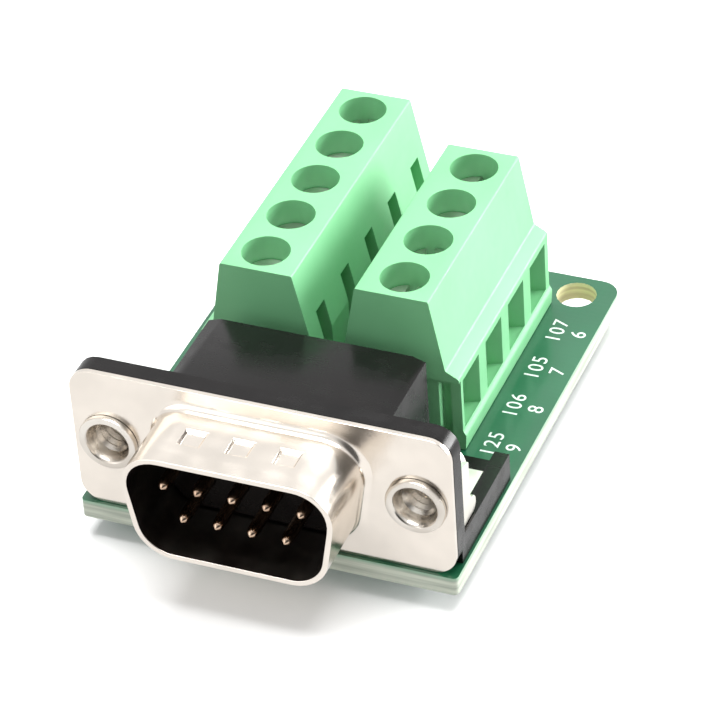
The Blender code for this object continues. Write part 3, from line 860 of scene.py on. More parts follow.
@dataclass(frozen=True)
class Laminate:
    """The sawn edge of glass laminate: uneven layers under a rim stained by the mask."""

    name: str
    pale: Triple
    deep: Triple
    rim: Triple
    top: float = 3.5 * MM
    rim_depth: float = 0.4 * MM
    layer_scale: float = 2600.0
    layer_depth: float = 0.02 * MM
    layer_strength: float = 0.4
    flatness: float = 0.05
    roughness: float = 0.6

    def material(self) -> Material:
        """Builds the finish.

        Returns:
            The material.
        """
        finish = Finish(self.name)
        tree, place = finish.tree, finish.place
        squashed = {0: place, 1: (self.flatness, self.flatness, 1.0)}
        flat = wired(tree, "ShaderNodeVectorMath", squashed, operation="MULTIPLY").outputs[0]
        layers = finish.drift(self.pale, self.deep, self.layer_scale, flat)
        height = wired(tree, "ShaderNodeSeparateXYZ", {0: place}).outputs[2]
        near_top = narrowed(tree, height, self.top - self.rim_depth, self.top)
        tones = {0: near_top, 6: layers.outputs["Color"], 7: (*self.rim, 1.0)}
        tone = wired(tree, "ShaderNodeMix", tones, data_type="RGBA").outputs[2]
        relief = bumped(tree, layers.outputs["Mask"], self.layer_depth, self.layer_strength)
        return finish.done({"Base Color": tone, "Normal": relief, "Roughness": self.roughness})


class Palette:
    """Every finish of the adapter, made once."""

    def __init__(self) -> None:
        """Builds the materials."""
        self.mint = Moulding(
            "mint_moulding",
            pale=(0.182, 0.49, 0.242),
            deep=(0.168, 0.465, 0.224),
            roughness=0.42,
            grain_depth=0.004 * MM,
        ).material()
        self.black = Moulding(
            "satin_black",
            pale=(0.006, 0.005, 0.005),
            deep=(0.0045, 0.004, 0.004),
            roughness=0.2,
            grain_depth=0.002 * MM,
            shine=0.25,
        ).material()
        self.nickel = Plating(
            "shell_nickel",
            pale=(0.84, 0.775, 0.70),
            deep=(0.78, 0.72, 0.65),
            roughness=0.16,
            dull=0.26,
        ).material()
        # Painted shade: a darker copy of the shell's nickel for the wall's inner faces, standing in for
        # the shade inside the plug's opening.
        self.inner = Plating(
            "shaded_inner_nickel",
            pale=(0.20, 0.18, 0.16),
            deep=(0.12, 0.10, 0.09),
            roughness=0.3,
            dull=0.45,
        ).material()
        self.strap = Plating(
            "strap_nickel",
            pale=(0.88, 0.86, 0.80),
            deep=(0.80, 0.78, 0.70),
            roughness=0.3,
            dull=0.45,
        ).material()
        self.insert = Plating(
            "insert_nickel",
            pale=(0.78, 0.74, 0.68),
            deep=(0.60, 0.55, 0.49),
            roughness=0.2,
            dull=0.36,
        ).material()
        self.gold = Plating(
            "pin_gold",
            pale=(0.62, 0.46, 0.34),
            deep=(0.47, 0.33, 0.24),
            roughness=0.12,
            dull=0.24,
        ).material()
        self.zinc = Plating(
            "zinc_screw",
            pale=(0.80, 0.79, 0.76),
            deep=(0.60, 0.58, 0.55),
            roughness=0.26,
            dull=0.5,
        ).material()
        self.tin = Plating(
            "tinned_contact",
            pale=(0.80, 0.79, 0.75),
            deep=(0.62, 0.60, 0.54),
            roughness=0.3,
            dull=0.5,
        ).material()
        self.solder = Plating(
            "solder",
            pale=(0.78, 0.78, 0.78),
            deep=(0.6, 0.6, 0.6),
            roughness=0.2,
            dull=0.35,
        ).material()
        self.mask = SolderMask(
            "solder_mask",
            pale=(0.008, 0.105, 0.045),
            deep=(0.006, 0.08, 0.034),
        ).material()
        self.edge = Laminate(
            "laminate_edge",
            pale=(0.60, 0.64, 0.54),
            deep=(0.36, 0.40, 0.33),
            rim=(0.24, 0.42, 0.29),
        ).material()
        self.bare = Laminate(
            "bare_laminate",
            pale=(0.80, 0.78, 0.46),
            deep=(0.58, 0.53, 0.30),
            rim=(0.74, 0.72, 0.46),
        ).material()
        self.ink = Moulding(
            "white_ink",
            pale=(0.62, 0.68, 0.65),
            deep=(0.52, 0.58, 0.55),
            roughness=0.5,
            grain_depth=0.002 * MM,
        ).material()


@dataclass
class Board:
    """The circuit board, its printed numbers and its soldered leads."""

    palette: Palette
    hole_radius: float = 1.65 * MM
    hole_from_side: float = 3.15 * MM
    hole_from_rear: float = 2.4 * MM
    edge_reach: float = 0.3 * MM
    number_size: float = 1.8 * MM
    number_spread: float = 1.15
    number_forward: float = 0.8 * MM
    print_height: float = 0.012 * MM
    circuit_in: float = 3.0 * MM
    number_in: float = 1.2 * MM
    joint_radius: float = 0.85 * MM
    joint_height: float = 0.9 * MM
    joint_sides: int = 20
    pad_height: float = 0.04 * MM
    pad_share: float = 0.8
    fillet: tuple[Section, ...] = ((0.62, 0.35), (0.5, 0.8), (0.4, 1.0))
    circuits: tuple[str, ...] = ("109", "104", "103", "108", "102", "107", "105", "106", "125")

    def __post_init__(self) -> None:
        """Reads the board's corners from its node."""
        self.low, self.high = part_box("circuit_board")

    def build(self) -> None:
        """Builds and dresses every piece of the board."""
        self.build_board()
        self.build_print()
        self.build_joints()

    def surface_of(self, place: Vector, normal: Vector) -> BoardFace:
        """Which finish a face of the board has.

        Args:
            place: the face's centre.
            normal: the face's direction.

        Returns:
            The face's finish.
        """
        if abs(normal.z) > FACING:
            return BoardFace.MASK
        hole = Vector((self.high.x - self.hole_from_side, self.high.y - self.hole_from_rear))
        if (place.xy - hole).length < self.hole_radius + self.edge_reach:
            return BoardFace.BARE
        gaps = [*(place.xy - self.low.xy), *(self.high.xy - place.xy)]
        return BoardFace.SAWN if min(gaps) < 2 * self.edge_reach else BoardFace.PLATED

    def build_board(self) -> None:
        """Builds the board with its mask, its sawn edges and its holes."""
        board = copied("circuit_board", "board")
        shade(board)
        finishes = [self.palette.mask, self.palette.edge, self.palette.bare, self.palette.solder]
        indices = [self.surface_of(face.center, face.normal).value for face in board.data.polygons]
        seat(board, "board", finishes, ["circuit_board"])
        board.data.polygons.foreach_set("material_index", indices)

    def printed(self, words: str, place: Vector, turn: float) -> Piece:
        """One printed word on the board's top.

        Args:
            words: the plain number that is printed.
            place: the word's middle.
            turn: its turn about Z.

        Returns:
            The mesh object.
        """
        bpy.ops.object.select_all(action="DESELECT")
        bpy.ops.object.text_add()
        label = bpy.context.view_layer.objects.active
        label.data.body = words
        label.data.size = self.number_size
        label.data.space_character = self.number_spread
        label.data.align_x = "CENTER"
        label.data.align_y = "CENTER"
        label.data.extrude = self.print_height / 2
        focus(label)
        bpy.ops.object.convert(target="MESH")
        label.location = place
        label.rotation_euler.z = turn
        settle(label)
        return label

    def build_print(self) -> None:
        """Prints each terminal's number and circuit along the two long edges."""
        labels = []
        for number, circuit in enumerate(self.circuits, 1):
            low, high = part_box(f"terminal_screw_{number}")
            side = Side.RIGHT if low.x > 0 else Side.LEFT
            edge = self.high.x if side is Side.RIGHT else self.low.x
            turn = RIGHT_ANGLE * side.value
            along = (low.y + high.y) / 2 - self.number_forward
            for words, inset in ((circuit, self.circuit_in), (str(number), self.number_in)):
                place = Vector((edge - side.value * inset, along, self.high.z + self.print_height / 2))
                labels.append(self.printed(words, place, turn))
        marks = joined("board_print", labels)
        with editing(marks):
            bpy.ops.mesh.remove_doubles(threshold=WELD)
        seat(marks, "board", [self.palette.ink])

    def build_joints(self) -> None:
        """Solders each lead to its pad under the board."""
        base = self.joint_radius
        pad = self.pad_height
        sections = [(base, 0.0), (base, -pad), (self.pad_share * base, -2 * pad)]
        sections += [(wide * base, -deep * self.joint_height) for wide, deep in self.fillet]
        model = turned("joint", sections, self.joint_sides)
        leads = [f"{kind}_{number}" for kind in ("dsub_pin", "terminal_pin") for number in WAYS]
        cones = []
        for lead in leads:
            points = [v.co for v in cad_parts[lead].data.vertices if v.co.z < self.low.z]
            middle = sum(points, Vector()) / len(points)
            place = Matrix.Translation((middle.x, middle.y, self.low.z))
            cones.append(duplicate(model, "cone", place))
        bpy.data.objects.remove(model, do_unlink=True)
        joints = joined("solder_joints", cones)
        shade(joints)
        seat(joints, "board", [self.palette.solder])


@dataclass
class PlugShell:
    """The drawn nickel shell: a D-shaped wall that flares out into the flange."""

    palette: Palette
    sheet: float = 0.45 * MM
    opening: tuple[float, float] = (16.92 * MM, 8.36 * MM)
    wall: float = 0.5 * MM
    corner: float = 2.6 * MM
    slant: float = math.radians(10)
    flare: float = 0.7 * MM
    flange_corner: float = 1.8 * MM
    steps: int = 10
    flare_steps: int = 5
    insert_spacing: float = 24.99 * MM
    insert_hole: float = 1.85 * MM
    drill_length: float = 4 * MM
    edge: float = 0.06 * MM
    dimple_pitch: float = 3.8 * MM
    dimple_side: float = 1.8 * MM
    dimple_slope: float = 0.8
    dimple_depth: float = 0.25 * MM
    dimple_back: float = 3.1 * MM

    def __post_init__(self) -> None:
        """Reads where the shell stands from its node."""
        self.low, self.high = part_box("dsub_shell")
        self.middle = (self.low.z + self.high.z) / 2
        self.face = self.high.y - self.sheet

    def outline(self, grow: float, y: float, name: str) -> Piece:
        """The D-shaped loop, grown evenly all round.

        Args:
            grow: how far it stands outside the opening.
            y: where it stands along the plug.
            name: the object's name.

        Returns:
            A flat face with that outline.
        """
        width, height = self.opening
        top = width / 2 + grow / math.cos(self.slant) + grow * math.tan(self.slant)
        foot = top - (height + 2 * grow) * math.tan(self.slant)
        bpy.ops.object.select_all(action="DESELECT")
        at = (0.0, y, self.middle)
        bpy.ops.mesh.primitive_plane_add(size=2.0, location=at, rotation=UPRIGHT)
        face = added(name)
        for point in face.data.vertices:
            upper = point.co.z > self.middle
            point.co.x = math.copysign(top if upper else foot, point.co.x)
            point.co.z = self.middle + math.copysign(height / 2 + grow, point.co.z - self.middle)
        radius = self.corner + grow
        for upper, angle in ((True, RIGHT_ANGLE - self.slant), (False, RIGHT_ANGLE + self.slant)):
            reach = radius / math.tan(angle / 2)
            with editing(face, Pick.POINTS, lambda p, _: (p.z > self.middle) is upper):
                bpy.ops.mesh.bevel(offset=reach, segments=self.steps, affect="VERTICES")
        return face

    def build(self) -> None:
        """Builds the shell and dresses it."""
        shell = self.outline(self.wall, self.low.y, "plug_shell")
        with editing(shell, Pick.FACES):
            bpy.ops.mesh.delete(type="ONLY_FACE")
        width, height = self.opening
        half = Vector((width / 2 + self.wall, 1.0, height / 2 + self.wall))
        with editing(shell, Pick.EDGES):
            reach = {"value": (0.0, self.face - self.flare - self.low.y, 0.0)}
            bpy.ops.mesh.extrude_region_move(TRANSFORM_OT_translate=reach)
            out, back = 0.0, 0.0
            for step in range(1, self.flare_steps + 1):
                angle = RIGHT_ANGLE * step / self.flare_steps
                next_out = self.flare * (1 - math.cos(angle))
                next_back = self.flare * math.sin(angle)
                move = {"value": (0.0, next_back - back, 0.0)}
                bpy.ops.mesh.extrude_region_move(TRANSFORM_OT_translate=move)
                share = [(side + next_out) / (side + out) for side in (half.x, half.z)]
                centre = (0.0, self.face - self.flare + next_back, self.middle)
                bpy.ops.transform.resize(value=(share[0], 1.0, share[1]), center_override=centre)
                out, back = next_out, next_back
        rim = self.flange()
        shell = joined("plug_shell", [shell, rim])
        with editing(shell, Pick.EDGES, lambda p, _: p.y > self.face - WELD):
            bpy.ops.mesh.bridge_edge_loops()
        with editing(shell):
            bpy.ops.mesh.remove_doubles(threshold=WELD)
            bpy.ops.mesh.select_all(action="SELECT")
            bpy.ops.mesh.normals_make_consistent(inside=False)
        self.thicken(shell)
        for side in Side:
            self.drill(shell, side)
        for step in (-1, 0, 1):
            self.press(shell, step * self.dimple_pitch)
        soften(shell, self.edge)
        # The inner faces take the darker nickel, which paints the shade inside the opening.
        inside = [int(self.is_inside(face.center, face.normal)) for face in shell.data.polygons]
        seat(shell, "board", [self.palette.nickel, self.palette.inner], ["dsub_shell"])
        shell.data.polygons.foreach_set("material_index", inside)

    def is_inside(self, place: Vector, normal: Vector) -> bool:
        """Tells the wall's inner face, which looks to the middle of the plug and gets the darker nickel
        as painted shade.
        """
        away = Vector((place.x, 0.0, place.z - self.middle))
        return place.y > self.low.y + self.wall / 2 and abs(normal.y) < FACING and normal.dot(away) < 0

    def flange(self) -> Piece:
        """The flange's outer outline, as a loop of edges.

        Returns:
            The loop, with as many points as the shell's.
        """
        bpy.ops.object.select_all(action="DESELECT")
        at = (0.0, self.face, self.middle)
        bpy.ops.mesh.primitive_plane_add(size=1.0, location=at, rotation=UPRIGHT)
        rim = added("rim")
        wide, tall = self.high.x, (self.high.z - self.low.z) / 2
        for point in rim.data.vertices:
            point.co.x = math.copysign(wide, point.co.x)
            point.co.z = self.middle + math.copysign(tall, point.co.z - self.middle)
        with editing(rim, Pick.POINTS):
            bpy.ops.mesh.bevel(offset=self.flange_corner, segments=self.steps, affect="VERTICES")
        with editing(rim, Pick.FACES):
            bpy.ops.mesh.delete(type="ONLY_FACE")
        return rim

    def thicken(self, shell: Piece) -> None:
        """Gives the sheet its thickness behind and inside the outer face.

        Args:
            shell: the sheet.
        """
        front = next(f for f in shell.data.polygons if abs(f.normal.y) > PARALLEL)
        inward = -1.0 if front.normal.y < 0 else 1.0
        apply(shell, "SOLIDIFY", thickness=self.sheet, offset=inward)

    def drill(self, shell: Piece, side: Side) -> None:
        """Drills the hole of one threaded insert.

        Args:
            shell: the shell.
            side: which insert.
        """
        bpy.ops.object.select_all(action="DESELECT")
        at = (side.value * self.insert_spacing / 2, self.face, self.middle)
        bpy.ops.mesh.primitive_cylinder_add(
            vertices=ROUND_SIDES,
            radius=self.insert_hole,
            depth=self.drill_length,
            location=at,
            rotation=UPRIGHT,
        )
        carve(shell, added("drill"))

    def press(self, shell: Piece, x: float) -> None:
        """Presses one square dimple into the shell's top.

        Args:
            shell: the shell.
            x: where the dimple is across the plug.
        """
        top = self.middle + self.opening[1] / 2 + self.wall
        depth = self.dimple_depth
        side = self.dimple_side
        tool = block(
            "dimple",
            (x - side / 2, self.face - self.dimple_back - side / 2, top - depth),
            (x + side / 2, self.face - self.dimple_back + side / 2, top + depth),
        )
        with editing(tool, Pick.FACES, lambda _, n: n.z < -FACING):
            share = self.dimple_slope
            centre = (x, self.face - self.dimple_back, top)
            bpy.ops.transform.resize(value=(share, share, 1.0), center_override=centre)
        with editing(tool, Pick.FACES, lambda _, n: n.z > FACING):
            share = 2 - self.dimple_slope
            bpy.ops.transform.resize(value=(share, share, 1.0), center_override=centre)
        carve(shell, tool)


@dataclass
class Insulator:
    """The black moulding with its hood and feet."""

    palette: Palette
    edge: float = 0.14 * MM
    corner: float = 2.4 * MM
    corner_share: float = 0.75
    arc_reach: float = 20 * WELD
    sheet: float = 0.45 * MM
    backing_rear: float = 2.1 * MM
    fence_drop: float = 1.0 * MM
    fence: tuple[float, float] = (9.05 * MM, 14.1 * MM)
    fence_front: float = 10.6 * MM
    fence_depth: float = 2.0 * MM
    foot_top: float = 2.5 * MM
    over: float = 1.0 * MM

    def build(self) -> None:
        """Builds the moulding and dresses it."""
        body = copied("dsub_insulator", "plug_insulator")
        low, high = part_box("dsub_shell")
        for corner in ((x, z) for x in (low.x, high.x) for z in (low.z, high.z)):
            self.tighten(body, *corner)
        for side in Side:
            self.lower_fence(body, side)
        soften(body, self.edge, 3)
        seat(body, "board", [self.palette.black], ["dsub_insulator"])

    def tighten(self, body: Piece, x: float, z: float) -> None:
        """Draws one rounded corner of the backing in, to match the flange.

        Args:
            body: the moulding.
            x: where the sharp corner would be across the plug.
            z: where it would be in height.
        """
        low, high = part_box("dsub_shell")
        middle = (low.z + high.z) / 2
        rear = low.y + self.backing_rear + (high.y - low.y)
        centre = Vector((x - math.copysign(self.corner, x), z - math.copysign(self.corner, z - middle)))

        def on_arc(place: Vector, _: Vector) -> bool:
            away = Vector((place.x, place.z)) - centre
            outside = away.x * x > -WELD * abs(x) and away.y * (z - middle) > -WELD * abs(z - middle)
            return outside and place.y < rear and abs(away.length - self.corner) < self.arc_reach

        with editing(body, Pick.POINTS, on_arc):
            share = self.corner_share
            bpy.ops.transform.resize(value=(share, 1.0, share), center_override=(x, 0.0, z))

    def lower_fence(self, body: Piece, side: Side) -> None:
        """Lowers the fence behind one foot.

        Args:
            body: the moulding.
            side: which foot.
        """
        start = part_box("dsub_shell")[1].y - self.sheet + self.fence_front
        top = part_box("circuit_board")[1].z + self.foot_top
        near, far = sorted(side.value * reach for reach in self.fence)
        low = (near, start - self.over, top - self.fence_drop)
        carve(body, block("fence", low, (far, start + self.fence_depth, top + self.over)))


@dataclass
class PlugPins:
    """The nine round pins, with rounded tips and legs bent down to the board."""

    palette: Palette
    radius: float = 0.5 * MM
    tip: float = 1.1 * MM
    tip_flat: float = 0.1 * MM
    leg_radius: float = 0.38 * MM
    bend: float = 1.0 * MM
    shoulder: float = 7.85 * MM
    sides: int = 24
    tip_steps: int = 8
    bend_steps: int = 8

    def build(self) -> None:
        """Builds every pin and dresses it."""
        for number in WAYS:
            self.build_pin(number)

    def build_pin(self, number: int) -> None:
        """Builds one pin along Z, bends its leg and lays it along the plug.

        Args:
            number: the pin's number.
        """
        node = f"dsub_pin_{number}"
        low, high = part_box(node)
        straight = high.y - low.y - self.leg_radius - self.bend
        sections = []
        for step in range(self.tip_steps):
            along = step / self.tip_steps
            swell = math.sqrt(1 - (1 - along) ** 2)
            sections.append((self.tip_flat + (self.radius - self.tip_flat) * swell, along * self.tip))
        shoulder = min(self.shoulder, straight - self.radius)
        sections += [(self.radius, self.tip), (self.radius, shoulder)]
        sections += [(self.leg_radius, shoulder + self.radius / 4), (self.leg_radius, straight)]
        pin = turned(f"plug_pin_{number}", sections, self.sides)
        with editing(pin, Pick.FACES, lambda p, n: n.z > PARALLEL and p.z > straight - WELD):
            bpy.ops.mesh.spin(
                steps=self.bend_steps,
                angle=-RIGHT_ANGLE,
                center=(0.0, self.bend, straight),
                axis=(1.0, 0.0, 0.0),
            )
            axis_height = high.z - self.radius
            leg = axis_height - self.bend - low.z
            bpy.ops.mesh.extrude_region_move(TRANSFORM_OT_translate={"value": (0.0, leg, 0.0)})
        laid = Matrix.Rotation(-RIGHT_ANGLE, 4, "X")
        pin.data.transform(Matrix.Translation(((low.x + high.x) / 2, low.y, axis_height)) @ laid)
        with editing(pin):
            bpy.ops.mesh.normals_make_consistent(inside=False)
        shade(pin)
        seat(pin, "board", [self.palette.gold], [node])


@dataclass
class Inserts:
    """The two flared inserts with their inner thread."""

    palette: Palette
    bore: float = 1.45 * MM
    crest: float = 1.22 * MM
    body: float = 1.8 * MM
    rim: float = 2.4 * MM
    flare: float = 1.75 * MM
    proud: float = 0.45 * MM
    round_off: float = 0.16 * MM
    collar: float = 2.05 * MM
    collar_length: float = 2.6 * MM
    thread_start: float = 0.9 * MM
    thread_short: float = 1.4 * MM
    pitch: float = 0.635 * MM

    def build(self) -> None:
        """Builds both inserts and dresses them."""
        for side in Side:
            self.build_insert(side)

    def build_insert(self, side: Side) -> None:
        """Builds one insert about Z and turns it to face the front.

        Args:
            side: which insert.
        """
        node = f"threaded_insert_{side.word}"
        low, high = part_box(node)
        length = high.y - low.y
        cut = self.round_off
        behind = self.proud + WELD
        neck = length - self.collar_length
        sections = [
            (self.bore, length),
            (self.bore, self.thread_start),
            (self.flare, cut),
            (self.flare + cut / 2, cut / 4),
            (self.flare + cut, 0.0),
            (self.rim - cut, 0.0),
            (self.rim - cut / 3, cut / 4),
            (self.rim, cut),
            (self.rim, behind),
            (self.body, behind),
            (self.body, neck),
            (self.collar, neck),
            (self.collar, length),
            (self.bore, length),
        ]
        insert = turned(f"insert_{side.word}", sections, ROUND_SIDES, hollow=True)
        turns = (length - self.thread_short) / self.pitch
        root = self.bore + WELD
        thread = helix("thread", root, self.crest, self.thread_start, self.pitch, turns)
        insert = joined(f"insert_{side.word}", [insert, thread])
        centre = ((low.x + high.x) / 2, low.y, (low.z + high.z) / 2)
        insert.data.transform(Matrix.Translation(centre) @ Matrix.Rotation(-RIGHT_ANGLE, 4, "X"))
        shade(insert)
        seat(insert, "board", [self.palette.insert], [node])


@dataclass
class Straps:
    """The two folded grounding straps beside the hood."""

    palette: Palette
    edge: float = 0.08 * MM

    def build(self) -> None:
        """Builds both straps and dresses them."""
        for side in Side:
            strap = copied(f"ground_strap_{side.word}", f"strap_{side.word}")
            soften(strap, self.edge)
            seat(strap, "board", [self.palette.strap], [f"ground_strap_{side.word}"])


@dataclass
class ClampScrew:
    """A slotted clamp screw with its thread, built once and copied."""

    palette: Palette
    head: float = 1.9 * MM
    head_height: float = 1.4 * MM
    edge: float = 0.2 * MM
    edge_share: float = 0.3
    slot: tuple[float, float] = (0.7 * MM, 0.75 * MM)
    slot_edge: float = 0.05 * MM
    core: float = 1.02 * MM
    crest: float = 1.24 * MM
    pitch: float = 0.45 * MM
    angles: tuple[float, ...] = (20, 63, 66, 35, 112, 80, 60, 108, 92)

    def model(self, low: float, high: float) -> Piece:
        """Builds the screw on the Z axis.

        Args:
            low: its tip's height.
            high: its head's top.

        Returns:
            The mesh object.
        """
        under = high - self.head_height
        curve = self.edge_share * self.edge
        sections = [
            (self.core - self.edge, low),
            (self.core, low + self.edge),
            (self.core, under),
            (self.head, under),
            (self.head, high - self.edge),
            (self.head - curve, high - curve),
            (self.head - self.edge, high),
        ]
        screw = turned("screw", sections, ROUND_SIDES)
        half, floor, reach = self.slot[0] / 2, high - self.slot[1], 2 * self.head
        carve(screw, block("slot", (-reach, -half, floor), (reach, half, high + self.edge)))
        soften(screw, self.slot_edge)
        turns = (under - low - self.edge) / self.pitch - 1
        thread = helix("thread", self.core - WELD, self.crest, low + self.edge, self.pitch, turns)
        return joined("screw", [screw, thread])

    def build(self) -> None:
        """Copies the screw to every terminal."""
        low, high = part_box("terminal_screw_1")
        model = self.model(low.z, high.z)
        for number in WAYS:
            node = f"terminal_screw_{number}"
            low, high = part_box(node)
            turn = Matrix.Rotation(math.radians(self.angles[number - 1]), 4, "Z")
            at = Matrix.Translation(((low.x + high.x) / 2, (low.y + high.y) / 2, 0.0))
            screw = duplicate(model, f"clamp_screw_{number}", at @ turn)
            shade(screw)
            seat(screw, f"screw_{number}", [self.palette.zinc], [node])
        bpy.data.objects.remove(model, do_unlink=True)


@dataclass
class Housing:
    """A green housing in its own frame: X out to the wires, Y along the poles, Z up from the board."""

    palette: Palette
    side: Side
    pitch: float = 5.08 * MM
    height: float = 14.05 * MM
    edge: float = 0.14 * MM
    inner_edge: float = 0.05 * MM
    over: float = 1.0 * MM
    nose_out: float = 5.05 * MM
    back_out: float = 4.6 * MM
    bore: float = 1.94 * MM
    head_under: float = 10.5 * MM
    window: Triple = (3.53 * MM, 1.85 * MM, 6.5 * MM)
    funnel: tuple[float, float] = (1.2 * MM, 0.42 * MM)
    throat: Triple = (1.25 * MM, 2.8 * MM, 5.7 * MM)
    pocket: tuple[float, float] = (2.1 * MM, 1.85 * MM)
    lead: Triple = (3.8 * MM, 1.2 * MM, 6.4 * MM)
    slot: Triple = (1.65 * MM, 1.2 * MM, 9.5 * MM)
    slot_depth: float = 1.3 * MM
    slot_shift: float = -0.3 * MM
    end_step: tuple[float, float] = (0.35 * MM, 6.75 * MM)
    tongues: tuple[float, float] = (3.7 * MM, -3.0 * MM)
    groove: tuple[float, float] = (0.5 * MM, 0.9 * MM)
    rib: tuple[float, float] = (0.4 * MM, 0.7 * MM)
    profile: tuple[Section, ...] = (
        (-4.6 * MM, 0.05 * MM),
        (5.2 * MM, 0.05 * MM),
        (5.3 * MM, 1.45 * MM),
        (5.05 * MM, 1.85 * MM),
        (5.05 * MM, 7.1 * MM),
        (3.95 * MM, 7.72 * MM),
        (2.85 * MM, 14.05 * MM),
        (-3.16 * MM, 14.05 * MM),
        (-4.6 * MM, 7.0 * MM),
    )

    def build(self) -> None:
        """Builds the housing and dresses it."""
        first, last = POLES[self.side]
        boxes = [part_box(f"terminal_screw_{number}") for number in (first, last)]
        poles = last - first + 1
        length = poles * self.pitch
        housing = drawn(f"housing_{self.side.word}", self.profile, 0.0, length, self.edge)
        depth, height = self.end_step
        wide = self.nose_out + 2 * self.over
        self.cut(housing, "step", (-wide, wide), (-self.over, depth), (-self.over, height))
        for pole in range(poles):
            self.hollow(housing, (pole + 0.5) * self.pitch)
        for out in self.tongues:
            self.dovetail(housing, out, length)
        soften(housing, self.inner_edge)
        middle = sum((box[0].y + box[1].y) / 4 for box in boxes)
        line = (boxes[0][0].x + boxes[0][1].x) / 2
        turn = 0.0 if self.side is Side.RIGHT else math.pi
        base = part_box("circuit_board")[1].z
        place = Matrix.Translation((line, middle, base)) @ Matrix.Rotation(turn, 4, "Z")
        housing.data.transform(place @ Matrix.Translation((0.0, -length / 2, 0.0)))
        node = f"terminal_housing_{self.side.word}"
        seat(housing, "board", [self.palette.mint], [node])

    def cut(self, housing: Piece, name: str, out: Section, along: Section, up: Section) -> None:
        """Cuts a box out of the housing.

        Args:
            housing: the housing.
            name: what the cut makes.
            out: where it starts and ends across the block.
            along: where it starts and ends along the block.
            up: where it starts and ends in height.
        """
        low, high = zip(out, along, up)
        carve(housing, block(name, low, high))

    def hollow(self, housing: Piece, middle: float) -> None:
        """Cuts one pole's bore, wire entry, cage pocket, lead pocket and rear slot.

        Args:
            housing: the housing.
            middle: where the pole is along the block.
        """
        bpy.ops.object.select_all(action="DESELECT")
        reach = self.height - self.head_under + 2 * self.over
        at = (0.0, middle, self.head_under - self.over + reach / 2)
        bpy.ops.mesh.primitive_cylinder_add(
            vertices=ROUND_SIDES,
            radius=self.bore,
            depth=reach,
            location=at,
        )
        carve(housing, added("bore"))
        cage, half = self.pocket
        up = (-self.over, self.head_under)
        self.cut(housing, "pocket", (-cage, cage), around(middle, half), up)
        depth, taper = self.funnel
        half, floor, top = self.throat
        deep = (0.0, self.nose_out - depth / 2)
        self.cut(housing, "throat", deep, around(middle, half), (floor, top))
        out, half, top = self.lead
        self.cut(housing, "lead", (-out, 0.0), around(middle, half), (-self.over, top))
        wide, floor, top = self.slot
        across = around(middle + self.slot_shift, wide / 2)
        deep = (-self.back_out - self.over, self.slot_depth - self.back_out)
        self.cut(housing, "slot", deep, across, (floor, top))
        wide, floor, top = self.window
        low = (self.nose_out - depth, middle - wide / 2, floor)
        mouth = block("window", low, (self.nose_out + WELD, middle + wide / 2, top))
        with editing(mouth, Pick.FACES, lambda _, n: n.x < -FACING):
            share = (1.0, 1 - 2 * taper / wide, 1 - taper / (top - floor))
            bpy.ops.transform.resize(value=share, center_override=(self.nose_out, middle, floor))
        carve(housing, mouth)

    def dovetail(self, housing: Piece, out: float, length: float) -> None:
        """Cuts the groove at one end and adds the rib at the other.

        Args:
            housing: the housing.
            out: where they stand across the block.
            length: the block's length.
        """
        step, height = self.end_step
        half, depth = self.groove
        along = (-self.over, step + depth)
        self.cut(housing, "groove", around(out, half), along, (-self.over, height - half))
        half, depth = self.rib
        low = (out - half, length - self.over, half)
        weld(housing, block("rib", low, (out + half, length + depth, height - half)))


@dataclass
class Terminals:
    """The two green blocks with their screws, cages and contacts."""

    palette: Palette
    cage_edge: float = 0.08 * MM
    contact_edge: float = 0.06 * MM

    def build(self) -> None:
        """Builds every piece of both blocks."""
        for side in Side:
            Housing(self.palette, side).build()
        ClampScrew(self.palette).build()
        for number in WAYS:
            self.build_inside(number)

    def build_inside(self, number: int) -> None:
        """Builds one terminal's cage and contact.

        Args:
            number: the terminal's number.
        """
        cage = copied(f"clamp_cage_{number}", f"cage_{number}")
        soften(cage, self.cage_edge)
        seat(cage, f"cage_{number}", [self.palette.tin], [f"clamp_cage_{number}"])
        contact = copied(f"terminal_pin_{number}", f"contact_{number}")
        soften(contact, self.contact_edge)
        seat(contact, "board", [self.palette.tin], [f"terminal_pin_{number}"])


@dataclass(frozen=True)
class Lamp:
    """A soft square lamp, with its side in metres and its power in watts."""

    name: str
    at: Triple
    side: float
    power: float

    def hang(self, aim: Triple) -> None:
        """Hangs the lamp in the scene.

        Args:
            aim: the point that it faces.
        """
        data = bpy.data.lights.new(self.name, "AREA")
        data.size = self.side
        data.energy = self.power
        lamp = bpy.data.objects.new(self.name, data)
        lamp.location = self.at
        lamp.rotation_mode = "QUATERNION"
        lamp.rotation_quaternion = (Vector(aim) - Vector(self.at)).to_track_quat("-Z", "Y")
        bpy.context.scene.collection.objects.link(lamp)


